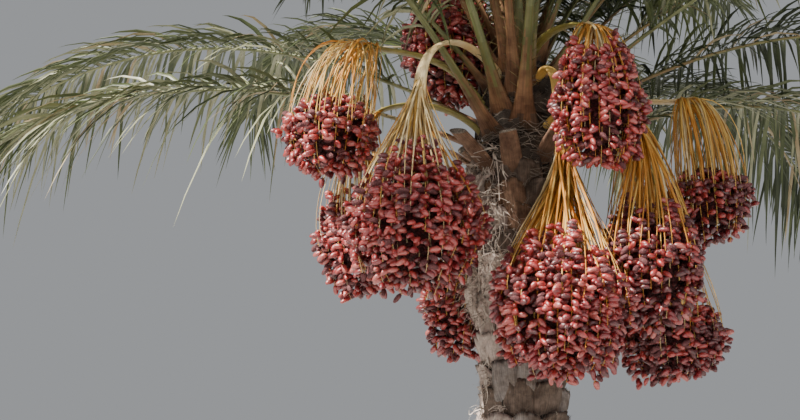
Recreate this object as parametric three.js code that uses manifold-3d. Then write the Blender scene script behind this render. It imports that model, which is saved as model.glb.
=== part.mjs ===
// A whole date palm in fruit: a trunk clad in old leaf bases, a crown of feather fronds,
// and stalks that arch out of the crown with heavy bunches of red dates.
// Millimetres, +Z up. The origin is the middle of the flat cut under the trunk, at ground level.
import * as THREE from "three";
import { mergeVertices } from "three/addons/utils/BufferGeometryUtils.js";
import Module from "manifold-3d";

const wasm = await Module();
wasm.setup();
const { Manifold, Mesh: SolidMesh } = wasm;

// Trunk
const CROWN_Z = 3480; // where the clad trunk ends and the growing heart begins
const HEART_HEIGHT = 640;
const TRUNK_RADIUS_LOW = 176;
const TRUNK_RADIUS_HIGH = 150;
const FLARE_WIDTH = 105;
const FLARE_HEIGHT = 250;
const LEAN_X = 34;
const LEAN_Y = -22;
const LEAN_BY_Z = 1900; // the trunk leans up to here and stands straight above
const COLUMNS = 16; // eight leaf bases a course, each with a middle and an edge
const COURSES = 26;
const COURSE_TWIST = 5; // degrees from one course to the next
const PROUD_LOW = 24; // how far a leaf base stands out, low on the trunk and under the crown
const PROUD_HIGH = 58;
const LIP = { middle: 0.82, edge: 0.52 }; // heights in a course, as shares of its pitch
const LEDGE = { middle: 0.98, edge: 0.66 };
const EDGE_PROUD_SHARE = 0.25;
const LEDGE_PROUD = 2;
const HEART_RINGS = 6;
const HEART_TIP_SHARE = 0.02; // of the squared radius, so that the heart ends blunt

// Stubs of fronds that were cut off, under the crown and between the stalks
const STUB_AZIMUTHS = [-174, -143, -104, -51, -22, 24, 53, 82, 113, 141];
const STUB_Z = 3390;
const STUB_Z_SPREAD = 60;
const STUB_LENGTH = 240;
const STUB_LENGTH_SPREAD = 70;
const STUB_SINK = 40; // how deep a stub starts in the trunk
const STUB_RISE = 46;
const STUB_RISE_SPREAD = 7;
const STUB_TWIST_SPREAD = 8;
const STUB_HALF_WIDTH = 50;
const STUB_HALF_DEPTH = 17;
const STUB_END_SHARE = 0.72;

// Fronds
const FROND_PLACES = 64;
const GOLDEN_ANGLE = 137.508;
const FIRST_AZIMUTH = 30;
const FROND_LENGTH = 3300;
const SHORT_SHARE = 0.8; // length of the oldest and youngest fronds, against the middle ones
const YOUNG_SHORTER = 0.16;
const LOWEST_RISE = 26; // degrees above level at the frond's foot
const STEEPEST_RISE = 82;
const MOST_RISE = 86;
const RISE_POWER = 1.3;
const RISE_SPREAD = 3;
const OLD_BEND = 74; // degrees from the foot to the tip
const YOUNG_BEND = 36;
const BEND_POWER = 1.4;
const BEND_SPREAD = 7;
const SWAY_SPREAD = 12;
const TWIST_SPREAD = 40;
const OPEN_AZIMUTH = -92; // the side whose lowest fronds were cut to reach the fruit
const OPEN_LIFT = 34;
const OPEN_POWER = 1.5;
const FOOT_LOWEST = 40; // above the crown's start
const FOOT_HIGHEST = 0.86; // of the heart's height
const FOOT_SINK = 24;
const FOOT_HALF_WIDTH = 42;
const FOOT_HALF_DEPTH = 17;
const FOOT_SHARE = 0.11; // of the frond's length, over which the foot narrows
const FOOT_POWER = 1.6;
const RIB_HALF_WIDTH = 20;
const RIB_HALF_DEPTH = 13;
const RIB_TIP_HALF_WIDTH = 3;
const RIB_TIP_HALF_DEPTH = 2;
const RIB_POWER = 0.8;
const RIB_STEPS = 60;
const YOUNG_WIDTH_SHARE = 0.5;
const YOUNG_DEPTH_SHARE = 0.75;
const PETIOLE_SHARE = 0.17; // of the frond's length, bare of leaflets
const PETIOLE_STEPS = 4;
const LEAFLET_PAIRS = 14;
const LEAFLET_LENGTH = 430;
const LEAFLET_SHORT_SHARE = 0.45; // length of a leaflet next to the petiole or the tip
const LEAFLET_YOUNG_SHARE = 0.8;
const LEAFLET_SWEEP = { low: 62, high: 24, spread: 4 }; // degrees from the rib
const LEAFLET_LIFT = { low: 34, high: 14, spread: 9 }; // degrees above the frond's face
const LEAFLET_DROOP = 0.16;
const LEAFLET_LAST = 0.985;
const FEWEST_LEAFLETS = 12;

// Spear of unopened leaves in the middle of the crown
const SPEAR_LENGTH = 1750;
const SPEAR_RADIUS = 34;
const SPEAR_SINK = 40; // how deep a spear starts in the tip of the heart
const SPEARS = [
  { tilt: 3, azimuth: 40, share: 1 },
  { tilt: 9, azimuth: 170, share: 0.86 },
  { tilt: 11, azimuth: 290, share: 0.78 },
];

// Bunches. The fruit: its direction from the trunk, distance and height, and half sizes.
// The stalk: the direction and distance of its end, the end's height, the height it leaves the heart at,
// how high it arches, and how much its end hangs, from 0, level, to 1, straight down.
const BUNCHES = [
  { fruit: [-156, 840, 3515], half: [185, 190], end: [-156, 745, 3880], exit: 3640, arch: 30, hang: 0.1 },
  { fruit: [-130, 690, 3100], half: [240, 265], end: [-131, 640, 3600], exit: 3800, arch: 150, hang: 1 },
  { fruit: [186, 650, 3135], half: [183, 230], end: [186, 600, 3665], exit: 3560, arch: 90, hang: 0.7 },
  { fruit: [158, 310, 4015], half: [190, 250], end: [158, 280, 4430], exit: 4000, arch: 90, hang: 0.8 },
  { fruit: [-64, 610, 3545], half: [175, 240], end: [-63, 570, 3890], exit: 3900, arch: 110, hang: 0.5 },
  { fruit: [-79, 520, 2795], half: [255, 280], end: [-60, 315, 3370], exit: 3760, arch: 120, hang: 1 },
  { fruit: [-39, 620, 2975], half: [183, 265], end: [-40, 590, 3520], exit: 3600, arch: 130, hang: 0.8 },
  { fruit: [-7, 775, 3300], half: [160, 185], end: [-8, 705, 3710], exit: 3640, arch: 60, hang: 0 },
  { fruit: [10, 630, 2770], half: [215, 185], end: [10, 580, 3330], exit: 3520, arch: 110, hang: 1 },
  { fruit: [128, 400, 2905], half: [145, 200], end: [128, 330, 3330], exit: 3530, arch: 120, hang: 1 },
  { fruit: [98, 690, 3120], half: [200, 250], end: [98, 590, 3600], exit: 3700, arch: 150, hang: 0.9 },
  { fruit: [66, 570, 2920], half: [205, 240], end: [66, 470, 3400], exit: 3560, arch: 120, hang: 1 },
  { fruit: [38, 720, 3200], half: [180, 215], end: [38, 620, 3640], exit: 3700, arch: 110, hang: 0.5 },
];
const STALK_HALF_WIDTH = 22;
const STALK_HALF_DEPTH = 10;
const STALK_END_WIDTH_SHARE = 1.35;
const STALK_ROOT_DEPTH_SHARE = 1.3;
const STALK_SINK = 20; // how deep a stalk starts in the heart
const STALK_CLIMB_SHARE = 0.2; // of its reach, where a stalk has climbed to its arch
const STALK_LEVEL_SHARE = 0.45; // of its reach, over which a level end runs
const STALK_STEPS = 6;
const STRANDS = 4;
const STRAND_SPACING = 0.05; // of the stalk's length, from one strand to the next
const STRAND_RADIUS = 9;
const STRAND_END_SHARE = 0.7;
const STRAND_TARGET = { out: 0.62, up: 0.45 }; // where a strand enters, as shares of the core
const CORE_SHARE = 0.84; // of the bunch's half sizes
const NARROW_TOP = 0.22; // how much narrower the fruit is at its top
const DATES = 10;
const DATE_HALF_LENGTH = 56;
const DATE_RADIUS = 36;
const DATE_DROOP = 0.55;
const DATE_DROOP_SPREAD = 0.3;
const DATE_SINK_SHARE = { out: 0.7, up: 0.85 }; // how far in a date's middle lies, in half lengths

const CLEARANCE = 0.4; // between pieces that touch
const LEAF_CLEARANCE = 2;
const UP = new THREE.Vector3(0, 0, 1);

const radians = THREE.MathUtils.degToRad;
const mix = THREE.MathUtils.lerp;

// A number from 0 to 1 that is the same for the same place and salt each time.
function share(place, salt) {
  const value = place * 0.754877666 + salt * 0.569840291;
  return value - Math.floor(value);
}

function vary(place, salt, amount) {
  return (share(place, salt) * 2 - 1) * amount;
}

function outward(azimuth) {
  return new THREE.Vector3(Math.cos(radians(azimuth)), Math.sin(radians(azimuth)), 0);
}

function solidOf(geometry) {
  const bare = new THREE.BufferGeometry().setAttribute("position", geometry.getAttribute("position"));
  if (geometry.index) bare.setIndex(geometry.index);
  const merged = mergeVertices(bare, 1e-3);
  return new Manifold(
    new SolidMesh({
      numProp: 3,
      vertProperties: merged.attributes.position.array,
      triVerts: new Uint32Array(merged.index.array),
    }),
  );
}

function geometryOf(solid) {
  const { vertProperties, triVerts } = solid.getMesh();
  const geometry = new THREE.BufferGeometry();
  geometry.setAttribute("position", new THREE.BufferAttribute(vertProperties, 3));
  geometry.setIndex(new THREE.BufferAttribute(triVerts, 1));
  geometry.computeVertexNormals();
  return geometry;
}

// A solid from points and faces that share them, all facing out.
function solidFrom(points, faces) {
  const geometry = new THREE.BufferGeometry().setFromPoints(points);
  geometry.setIndex(faces.flat());
  return solidOf(geometry);
}

// Rings of the same number of points, joined side by side, with a flat cap at each end.
function loft(rings) {
  const count = rings[0].length;
  const faces = [];
  const at = (ring, column) => ring * count + (column % count);
  for (let ring = 0; ring + 1 < rings.length; ring++)
    for (let column = 0; column < count; column++) {
      faces.push([at(ring, column), at(ring, column + 1), at(ring + 1, column + 1)]);
      faces.push([at(ring, column), at(ring + 1, column + 1), at(ring + 1, column)]);
    }
  const last = rings.length - 1;
  for (let column = 1; column + 1 < count; column++) {
    faces.push([at(0, 0), at(0, column + 1), at(0, column)]);
    faces.push([at(last, 0), at(last, column), at(last, column + 1)]);
  }
  return solidFrom(rings.flat(), faces);
}

// The axes of a limb's section: along it, to its side, and square to both.
function sectionAxes(along, azimuth, twist) {
  const side = outward(azimuth + 90);
  const face = along.clone().cross(side).normalize();
  side.applyAxisAngle(along, radians(twist));
  face.applyAxisAngle(along, radians(twist));
  return { along, side, face };
}

function trunkAxis(z) {
  const part = Math.min(z / LEAN_BY_Z, 1);
  const eased = part * part * (3 - 2 * part);
  return new THREE.Vector3(LEAN_X * eased, LEAN_Y * eased, z);
}

function trunkRadius(z) {
  if (z <= CROWN_Z) {
    const flare = FLARE_WIDTH * Math.exp(-z / FLARE_HEIGHT);
    return mix(TRUNK_RADIUS_LOW, TRUNK_RADIUS_HIGH, z / CROWN_Z) + flare;
  }
  const part = (z - CROWN_Z) / HEART_HEIGHT;
  return TRUNK_RADIUS_HIGH * Math.sqrt(Math.max(1 - part * part, HEART_TIP_SHARE));
}

// One ring of the trunk. The middles and edges of the leaf bases have their own height and radius.
function trunkRing(course, middle, edge, grow) {
  return Array.from({ length: COLUMNS }, (_, column) => {
    const place = (column + course) % 2 === 0 ? middle : edge;
    const radius = trunkRadius(place.z) + place.proud + grow;
    const angle = (column * 360) / COLUMNS + course * COURSE_TWIST;
    return trunkAxis(place.z).addScaledVector(outward(angle), radius);
  });
}

// One stub: three-sided like a frond's foot, with the keel below, and cut square at the end.
function stubSolid(azimuth, place, grow) {
  const rise = radians(STUB_RISE + vary(place, 6, STUB_RISE_SPREAD));
  const along = outward(azimuth).multiplyScalar(Math.cos(rise)).addScaledVector(UP, Math.sin(rise));
  const { side, face } = sectionAxes(along, azimuth, vary(place, 7, STUB_TWIST_SPREAD));
  const z = STUB_Z + vary(place, 8, STUB_Z_SPREAD);
  const start = trunkAxis(z).addScaledVector(outward(azimuth), trunkRadius(z) - STUB_SINK);
  const ring = (distance, part) => {
    const wide = STUB_HALF_WIDTH * part + grow;
    const deep = STUB_HALF_DEPTH * part + grow;
    const corner = (across, through) =>
      start.clone().addScaledVector(along, distance).addScaledVector(side, across).addScaledVector(face, through);
    return [corner(wide, deep), corner(-wide, deep), corner(0, -deep)];
  };
  const length = STUB_LENGTH + vary(place, 9, STUB_LENGTH_SPREAD);
  return loft([ring(0, 1), ring(length + grow, STUB_END_SHARE)]);
}

// The trunk with its courses of cut leaf bases, up to the tip of the heart.
function trunkSolid(grow = 0) {
  const flat = (z) => ({ z, proud: 0 });
  const rings = [trunkRing(0, flat(0), flat(0), grow)];
  const pitch = CROWN_Z / COURSES;
  for (let course = 0; course < COURSES; course++) {
    const z = course * pitch;
    const proud = mix(PROUD_LOW, PROUD_HIGH, (course / COURSES) ** 3);
    const lip = { z: z + pitch * LIP.middle, proud };
    const lipEdge = { z: z + pitch * LIP.edge, proud: proud * EDGE_PROUD_SHARE };
    rings.push(trunkRing(course, lip, lipEdge, grow));
    const ledge = { z: z + pitch * LEDGE.middle, proud: LEDGE_PROUD };
    const ledgeEdge = flat(z + pitch * LEDGE.edge);
    rings.push(trunkRing(course, ledge, ledgeEdge, grow));
  }
  for (let ring = 1; ring <= HEART_RINGS; ring++) {
    const z = CROWN_Z + HEART_HEIGHT * Math.sin((ring / HEART_RINGS) * (Math.PI / 2));
    rings.push(trunkRing(COURSES, flat(z), flat(z), grow));
  }
  return Manifold.union([loft(rings), ...STUB_AZIMUTHS.map((azimuth, i) => stubSolid(azimuth, i, grow))]);
}

// Everything about the frond at one place of the spiral, from the oldest, 0, to the youngest.
function frondRule(place) {
  const youth = place / (FROND_PLACES - 1);
  const azimuth = place * GOLDEN_ANGLE + FIRST_AZIMUTH;
  const open = Math.max(0, Math.cos(radians(azimuth - OPEN_AZIMUTH)));
  const lift = OPEN_LIFT * open * (1 - youth) ** OPEN_POWER;
  const rise = mix(LOWEST_RISE, STEEPEST_RISE, youth ** RISE_POWER) + lift;
  const swell = mix(SHORT_SHARE, 1, Math.sin(Math.PI * Math.min(youth + 0.25, 1)));
  return {
    place,
    azimuth,
    youth,
    rise: Math.min(rise + vary(place, 1, RISE_SPREAD), MOST_RISE),
    bend: mix(OLD_BEND, YOUNG_BEND, youth) + vary(place, 2, BEND_SPREAD),
    sway: vary(place, 3, SWAY_SPREAD),
    twist: vary(place, 4, TWIST_SPREAD),
    length: FROND_LENGTH * swell * (1 - YOUNG_SHORTER * youth),
    footZ: CROWN_Z + mix(FOOT_LOWEST, HEART_HEIGHT * FOOT_HIGHEST, youth),
  };
}

// Points along the rib, each with its axes and its share of the length.
function ribPoints(rule, shares) {
  const reach = trunkRadius(rule.footZ) - FOOT_SINK;
  const here = trunkAxis(rule.footZ).addScaledVector(outward(rule.azimuth), reach);
  const points = [];
  let next = 0;
  for (let step = 0; step <= RIB_STEPS; step++) {
    const part = step / RIB_STEPS;
    const rise = rule.rise - rule.bend * part ** BEND_POWER;
    const azimuth = rule.azimuth + rule.sway * part;
    const along = outward(azimuth)
      .multiplyScalar(Math.cos(radians(rise)))
      .addScaledVector(UP, Math.sin(radians(rise)));
    while (next < shares.length && shares[next] * RIB_STEPS < step + 1 - 1e-9) {
      const ahead = (shares[next] * RIB_STEPS - step) * (rule.length / RIB_STEPS);
      const place = here.clone().addScaledVector(along, ahead);
      points.push({ part: shares[next], place, ...sectionAxes(along.clone(), azimuth, rule.twist * part) });
      next++;
    }
    here.addScaledVector(along, rule.length / RIB_STEPS);
  }
  return points;
}

// Half width and half depth of the rib: a broad foot, a stout petiole and a rib that thins to the tip.
function ribSize(rule, part) {
  const foot = Math.max(0, 1 - part / FOOT_SHARE) ** FOOT_POWER;
  const taper = part ** RIB_POWER;
  const wide = mix(RIB_HALF_WIDTH, RIB_TIP_HALF_WIDTH, taper) + foot * (FOOT_HALF_WIDTH - RIB_HALF_WIDTH);
  const deep = mix(RIB_HALF_DEPTH, RIB_TIP_HALF_DEPTH, taper) + foot * (FOOT_HALF_DEPTH - RIB_HALF_DEPTH);
  return {
    wide: wide * mix(1, YOUNG_WIDTH_SHARE, rule.youth),
    deep: deep * mix(1, YOUNG_DEPTH_SHARE, rule.youth),
  };
}

function ribShares() {
  const shares = [];
  for (let step = 0; step < PETIOLE_STEPS; step++) shares.push((PETIOLE_SHARE * step) / PETIOLE_STEPS);
  for (let pair = 0; pair <= LEAFLET_PAIRS; pair++)
    shares.push(mix(PETIOLE_SHARE, LEAFLET_LAST, pair / LEAFLET_PAIRS));
  shares.push(1);
  return shares;
}

// The tip of one leaflet, on the side 1 or -1 of the rib.
function leafletTip(rule, from, to, pair, side) {
  const part = (pair + 0.5) / LEAFLET_PAIRS;
  const swell = Math.sin(Math.PI * mix(0.16, 0.9, part)) ** 0.7; // longest a little before the middle
  const grown = mix(1, LEAFLET_YOUNG_SHARE, rule.youth);
  const length = LEAFLET_LENGTH * mix(LEAFLET_SHORT_SHARE, 1, swell) * grown;
  const angle = ({ low, high, spread }, salt) =>
    radians(mix(low, high, part) + vary(pair, side * salt + rule.place, spread));
  const sweep = angle(LEAFLET_SWEEP, 1);
  const lift = angle(LEAFLET_LIFT, 3);
  const direction = from.along
    .clone()
    .multiplyScalar(Math.cos(sweep))
    .addScaledVector(from.side, side * Math.sin(sweep) * Math.cos(lift))
    .addScaledVector(from.face, Math.sin(sweep) * Math.sin(lift))
    .addScaledVector(UP, -LEAFLET_DROOP)
    .normalize();
  return from.place.clone().lerp(to.place, 0.5).addScaledVector(direction, length);
}

// The three-sided sections of a frond's rib and the tips of its leaflets.
function frondPlan(rule) {
  const points = ribPoints(rule, ribShares());
  const tip = points.pop();
  const sections = points.map((point) => {
    const { wide, deep } = ribSize(rule, point.part);
    const corner = (across, through) =>
      point.place.clone().addScaledVector(point.side, across).addScaledVector(point.face, through);
    return { ...point, corners: [corner(wide, deep), corner(-wide, deep), corner(0, -deep)] };
  });
  const leaflets = [];
  for (let pair = 0; pair < LEAFLET_PAIRS; pair++)
    for (const side of [-1, 1]) {
      const step = PETIOLE_STEPS + pair;
      const [from, to] = [sections[step], sections[step + 1]];
      const [a, b] = side > 0 ? [2, 0] : [1, 2];
      const root = [from.corners[a], from.corners[b], to.corners[b], to.corners[a]];
      leaflets.push({ step, side, root, tip: leafletTip(rule, from, to, pair, side) });
    }
  return { rule, sections, tip: tip.place, leaflets };
}

function leafletSolid({ root, tip }) {
  const faces = [[0, 1, 4], [1, 2, 4], [2, 3, 4], [3, 0, 4], [0, 3, 2], [0, 2, 1]];
  return solidFrom([...root, tip], faces);
}

// One closed frond. A leaflet stands on its own stretch of the rib's side, and a bare stretch stays flat.
function frondSolid({ sections, tip, leaflets }) {
  const points = sections.flatMap(({ corners }) => corners);
  const tips = new Map(leaflets.map((leaflet) => [`${leaflet.step} ${leaflet.side}`, leaflet.tip]));
  const faces = [[0, 2, 1]];
  for (let step = 0; step + 1 < sections.length; step++)
    for (const [side, from, to] of [[0, 0, 1], [-1, 1, 2], [1, 2, 0]]) {
      const [a, b, c, d] = [from, to, to + 3, from + 3].map((corner) => step * 3 + corner);
      if (tips.has(`${step} ${side}`)) {
        points.push(tips.get(`${step} ${side}`));
        const top = points.length - 1;
        faces.push([a, b, top], [b, c, top], [c, d, top], [d, a, top]);
      } else faces.push([a, b, c], [a, c, d]);
    }
  const last = (sections.length - 1) * 3;
  points.push(tip);
  const end = points.length - 1;
  faces.push([last, last + 1, end], [last + 1, last + 2, end], [last + 2, last, end]);
  return solidFrom(points, faces);
}

function boxesMeet(a, b, margin) {
  return [0, 1, 2].every((i) => a.min[i] - margin < b.max[i] && b.min[i] - margin < a.max[i]);
}

// Whether a solid is nearer than a distance to any of the others.
function touches(solid, others, distance) {
  const box = solid.boundingBox();
  return others.some(
    (other) => boxesMeet(box, other.box, distance) && solid.minGap(other.solid, distance) < distance,
  );
}

function boxed(solid) {
  return { solid, box: solid.boundingBox() };
}

// A place at a direction and distance from the trunk's middle line.
function beside([azimuth, distance, z]) {
  return trunkAxis(z).addScaledVector(outward(azimuth), distance);
}

// The line of a bunch's stalk: out of the heart, over its arch and down to its end.
function stalkCurve({ end: [azimuth, distance, z], exit, arch, hang }) {
  const top = Math.max(z, exit) + arch;
  return new THREE.CubicBezierCurve3(
    beside([azimuth, trunkRadius(exit) - STALK_SINK, exit]),
    beside([azimuth, trunkRadius(exit) + distance * STALK_CLIMB_SHARE, top]),
    beside([azimuth, distance * (1 - STALK_LEVEL_SHARE * (1 - hang)), mix(z, top, hang)]),
    beside([azimuth, distance, z]),
  );
}

function stalkSolid(curve, azimuth) {
  const rings = [];
  for (let step = 0; step <= STALK_STEPS; step++) {
    const part = step / STALK_STEPS;
    const { side, face } = sectionAxes(curve.getTangentAt(part), azimuth, 0);
    const place = curve.getPointAt(part);
    const wide = STALK_HALF_WIDTH * mix(1, STALK_END_WIDTH_SHARE, part);
    const deep = STALK_HALF_DEPTH * mix(STALK_ROOT_DEPTH_SHARE, 1, part);
    const corner = (across, through) =>
      place.clone().addScaledVector(side, across * wide).addScaledVector(face, through * deep);
    rings.push([corner(-1, 0), corner(0, -1), corner(1, 0), corner(0, 1)]);
  }
  return loft(rings);
}

// A three-sided strand that thins from its start to its end.
function strandSolid(start, end) {
  const along = end.clone().sub(start).normalize();
  const side = along.clone().cross(Math.abs(along.z) > 0.9 ? new THREE.Vector3(1, 0, 0) : UP).normalize();
  const ring = (centre, radius) =>
    [0, 120, 240].map((angle) =>
      centre.clone().addScaledVector(side.clone().applyAxisAngle(along, radians(angle)), radius),
    );
  return loft([ring(start, STRAND_RADIUS), ring(end, STRAND_RADIUS * STRAND_END_SHARE)]);
}

// Directions spread evenly over a ball, from the top down.
function spreadDirections(count) {
  return Array.from({ length: count }, (_, i) => {
    const z = 1 - (2 * (i + 0.5)) / count;
    return outward(i * GOLDEN_ANGLE).multiplyScalar(Math.sqrt(1 - z * z)).addScaledVector(UP, z);
  });
}

// The core of a bunch, narrower at the top, where the strands come in.
function coreSolid([wide, high], fruit) {
  const ball = new THREE.SphereGeometry(1, 7, 5).rotateX(Math.PI / 2);
  const place = ball.getAttribute("position");
  for (let i = 0; i < place.count; i++) {
    const z = place.getZ(i);
    const narrow = CORE_SHARE * wide * (1 - NARROW_TOP * Math.max(z, 0));
    place.setXYZ(i, place.getX(i) * narrow, place.getY(i) * narrow, z * CORE_SHARE * high);
  }
  ball.translate(fruit.x, fruit.y, fruit.z);
  return solidOf(ball);
}

// Dates that stand out of the core, each for a cluster of real ones, pointing out and down.
function dateSolids([wide, high], fruit) {
  return spreadDirections(DATES + 2)
    .slice(1, -1)
    .map((direction, i) => {
      const date = new THREE.OctahedronGeometry(1);
      date.scale(DATE_RADIUS, DATE_RADIUS, DATE_HALF_LENGTH);
      const droop = DATE_DROOP + vary(i, 5, DATE_DROOP_SPREAD);
      const aim = direction.clone().addScaledVector(UP, -droop).normalize();
      date.applyQuaternion(new THREE.Quaternion().setFromUnitVectors(UP, aim));
      const skin = wide * (1 - NARROW_TOP * Math.max(direction.z, 0));
      const narrow = skin - DATE_HALF_LENGTH * DATE_SINK_SHARE.out;
      const low = high - DATE_HALF_LENGTH * DATE_SINK_SHARE.up;
      date.translate(
        fruit.x + direction.x * narrow,
        fruit.y + direction.y * narrow,
        fruit.z + direction.z * low,
      );
      return solidOf(date);
    });
}

// One bunch: its stalk, the strands that leave the last of the stalk, and the fruit.
function bunchSolid(bunch) {
  const [wide, high] = bunch.half;
  const azimuth = bunch.end[0];
  const fruit = beside(bunch.fruit);
  const curve = stalkCurve(bunch);
  const pieces = [stalkSolid(curve, azimuth), coreSolid(bunch.half, fruit), ...dateSolids(bunch.half, fruit)];
  for (let i = 0; i < STRANDS; i++) {
    const target = fruit
      .clone()
      .addScaledVector(outward(azimuth + (i * 360) / STRANDS), wide * CORE_SHARE * STRAND_TARGET.out)
      .addScaledVector(UP, high * CORE_SHARE * STRAND_TARGET.up);
    pieces.push(strandSolid(curve.getPointAt(1 - STRAND_SPACING * (i + 0.4)), target));
  }
  return Manifold.union(pieces);
}

function spearSolid() {
  const pieces = SPEARS.map(({ tilt, azimuth, share: part }) => {
    const spear = new THREE.LatheGeometry(
      [
        [0, 0],
        [SPEAR_RADIUS * 0.8, 0],
        [SPEAR_RADIUS, SPEAR_LENGTH * 0.3],
        [SPEAR_RADIUS * 0.5, SPEAR_LENGTH * 0.8],
        [0, SPEAR_LENGTH],
      ].map(([x, y]) => new THREE.Vector2(x * part, y * part)),
      5,
    );
    spear.rotateX(Math.PI / 2).rotateY(radians(tilt)).rotateZ(radians(azimuth));
    const foot = trunkAxis(CROWN_Z + HEART_HEIGHT - SPEAR_SINK);
    spear.translate(foot.x, foot.y, foot.z);
    return solidOf(spear);
  });
  return Manifold.union(pieces);
}

// The biggest piece of a solid that a cut may have parted.
function biggest(solid) {
  const parts = solid.decompose();
  return parts.sort((a, b) => b.volume() - a.volume())[0];
}

const look = {
  bark: { color: 0x7b6a58, roughness: 0.95, metalness: 0 },
  frond: { color: 0x66754c, roughness: 0.6, metalness: 0 },
  dates: { color: 0x8e1f22, roughness: 0.4, metalness: 0 },
};

const palm = new THREE.Group();

function addNode(name, solid, finish) {
  const mesh = new THREE.Mesh(geometryOf(solid), new THREE.MeshStandardMaterial(finish));
  mesh.name = name;
  palm.add(mesh);
}

const trunk = trunkSolid();
const trunkSpace = trunkSolid(CLEARANCE);
addNode("trunk", trunk, look.bark);

const spear = biggest(spearSolid().subtract(trunkSpace));
addNode("spear_leaves", spear, look.frond);

const bunches = BUNCHES.map((bunch) => biggest(bunchSolid(bunch).subtract(trunkSpace)));
bunches.forEach((bunch, i) => addNode(`bunch_${String(i + 1).padStart(2, "0")}`, bunch, look.dates));

// A place whose rib would pass through a stalk, a bunch or an older rib stays empty, as if cut.
const standing = [boxed(spear), ...bunches.map(boxed)];
const fronds = [];
for (let place = 0; place < FROND_PLACES; place++) {
  const plan = frondPlan(frondRule(place));
  const rib = biggest(frondSolid({ ...plan, leaflets: [] }).subtract(trunkSpace));
  if (touches(rib, standing, CLEARANCE)) continue;
  standing.push(boxed(rib));
  fronds.push({ ...plan, rib });
}

// Leaflets that would touch anything but their own rib are left out.
const leaves = [];
const ribs = fronds.map(({ rib }) => boxed(rib));
for (const [i, frond] of fronds.entries()) {
  const others = [boxed(spear), ...bunches.map(boxed), ...ribs.filter((_, j) => j !== i), ...leaves];
  frond.leaflets = frond.leaflets.filter((leaflet) => {
    leaflet.space = boxed(leafletSolid(leaflet));
    return !touches(leaflet.space.solid, others, LEAF_CLEARANCE);
  });
  leaves.push(...frond.leaflets.map(({ space }) => space));
}
for (const frond of fronds) {
  if (frond.leaflets.length < FEWEST_LEAFLETS) continue;
  const name = `frond_${String(frond.rule.place).padStart(2, "0")}`;
  addNode(name, biggest(frondSolid(frond).subtract(trunkSpace)), look.frond);
}

export default palm;
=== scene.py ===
"""A date palm in fruit, dressed over its solid model.

The palm is built the way it grows. A trunk clad in cut leaf bases ends in a heart, fronds leave
the heart in a spiral, and stalks arch out between them and carry the bunches of dates. The rules
for the trunk, the fronds and the stalks are those of the solid model, so each part keeps the
place and the reach of the node it stands for. Lengths are metres and +Z is up.

Most of what varies from one like thing to the next is thrown: chance(number, salt) gives each
thing its own number from 0 to 1 for each salt, and a salt only tells one property from another.
"""

from __future__ import annotations

import logging
from dataclasses import dataclass, field, replace
from enum import Enum
from functools import partial

import bpy
import numpy as np
from mathutils import Euler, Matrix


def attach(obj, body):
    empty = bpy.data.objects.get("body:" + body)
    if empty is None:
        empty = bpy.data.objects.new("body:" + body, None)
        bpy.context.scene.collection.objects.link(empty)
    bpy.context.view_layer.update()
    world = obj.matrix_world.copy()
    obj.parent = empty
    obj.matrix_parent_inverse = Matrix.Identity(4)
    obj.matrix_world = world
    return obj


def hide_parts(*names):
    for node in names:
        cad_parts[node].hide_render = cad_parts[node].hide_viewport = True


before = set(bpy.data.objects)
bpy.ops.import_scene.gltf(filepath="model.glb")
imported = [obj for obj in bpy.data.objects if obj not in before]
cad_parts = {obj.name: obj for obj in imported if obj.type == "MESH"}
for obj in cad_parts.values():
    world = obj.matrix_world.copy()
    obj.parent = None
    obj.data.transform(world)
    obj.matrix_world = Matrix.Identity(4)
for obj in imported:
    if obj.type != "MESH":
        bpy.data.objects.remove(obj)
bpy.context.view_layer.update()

log = logging.getLogger("palm")

Array = np.ndarray
Number = np.ndarray | float
Limits = tuple[float, float]
Colour = tuple[float, float, float]

GOLDEN_ANGLE = 137.508
UP = np.array([0.0, 0.0, 1.0])
LEVEL = np.array([1.0, 1.0, 0.0])


# Numbers, directions and curves


def share(place: Number, salt: Number) -> Array:
    """Give a number from 0 to 1 for each place, spread evenly and the same each time.

    It is the fraction of place x 0.7549 + salt x 0.5698, the steps of an even two-way spread.

    Args:
        place: Which one of a row of like things.
        salt: Which of its properties.

    Returns:
        The numbers, in the shape of place and salt together.
    """
    value = np.asarray(place) * 0.754877666 + np.asarray(salt) * 0.569840291
    return value - np.floor(value)


def vary(place: Number, salt: Number, amount: float) -> Array:
    """Give a spread number from -amount to amount."""
    return (share(place, salt) * 2 - 1) * amount


def chance(place: Number, salt: float) -> Array:
    """Give a thrown number from 0 to 1: the fraction of 43758.5 sin(12.99 place + 78.23 salt)."""
    value = np.sin(np.asarray(place) * 12.9898 + salt * 78.233) * 43758.5453
    return value - np.floor(value)


def scatter(place: Number, salt: float, amount: float) -> Array:
    """Give a thrown number from -amount to amount."""
    return (chance(place, salt) * 2 - 1) * amount


def mix(low: Number, high: Number, part: Number) -> Array:
    """Go from low to high as part goes from 0 to 1."""
    return low + (high - low) * np.asarray(part)


def pick(limits: Limits, place: Number, salt: float, power: float = 1) -> Array:
    """Give a thrown number between two limits, mostly near the first for a power over 1."""
    return mix(*limits, chance(place, salt) ** power)


def in_range(values: Array, low: float, high: float) -> Array:
    """Tell which values lie from low up to high."""
    return (values >= low) & (values < high)


def ring_angles(columns: int) -> Array:
    """Give even angles once round, in radians."""
    return np.arange(columns) * 2 * np.pi / columns


def outward(azimuth: Number) -> Array:
    """Give the level direction at an azimuth in degrees: (cos a, sin a, 0)."""
    angle = np.radians(azimuth)
    return np.stack([np.cos(angle), np.sin(angle), np.zeros_like(angle)], axis=-1)


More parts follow.
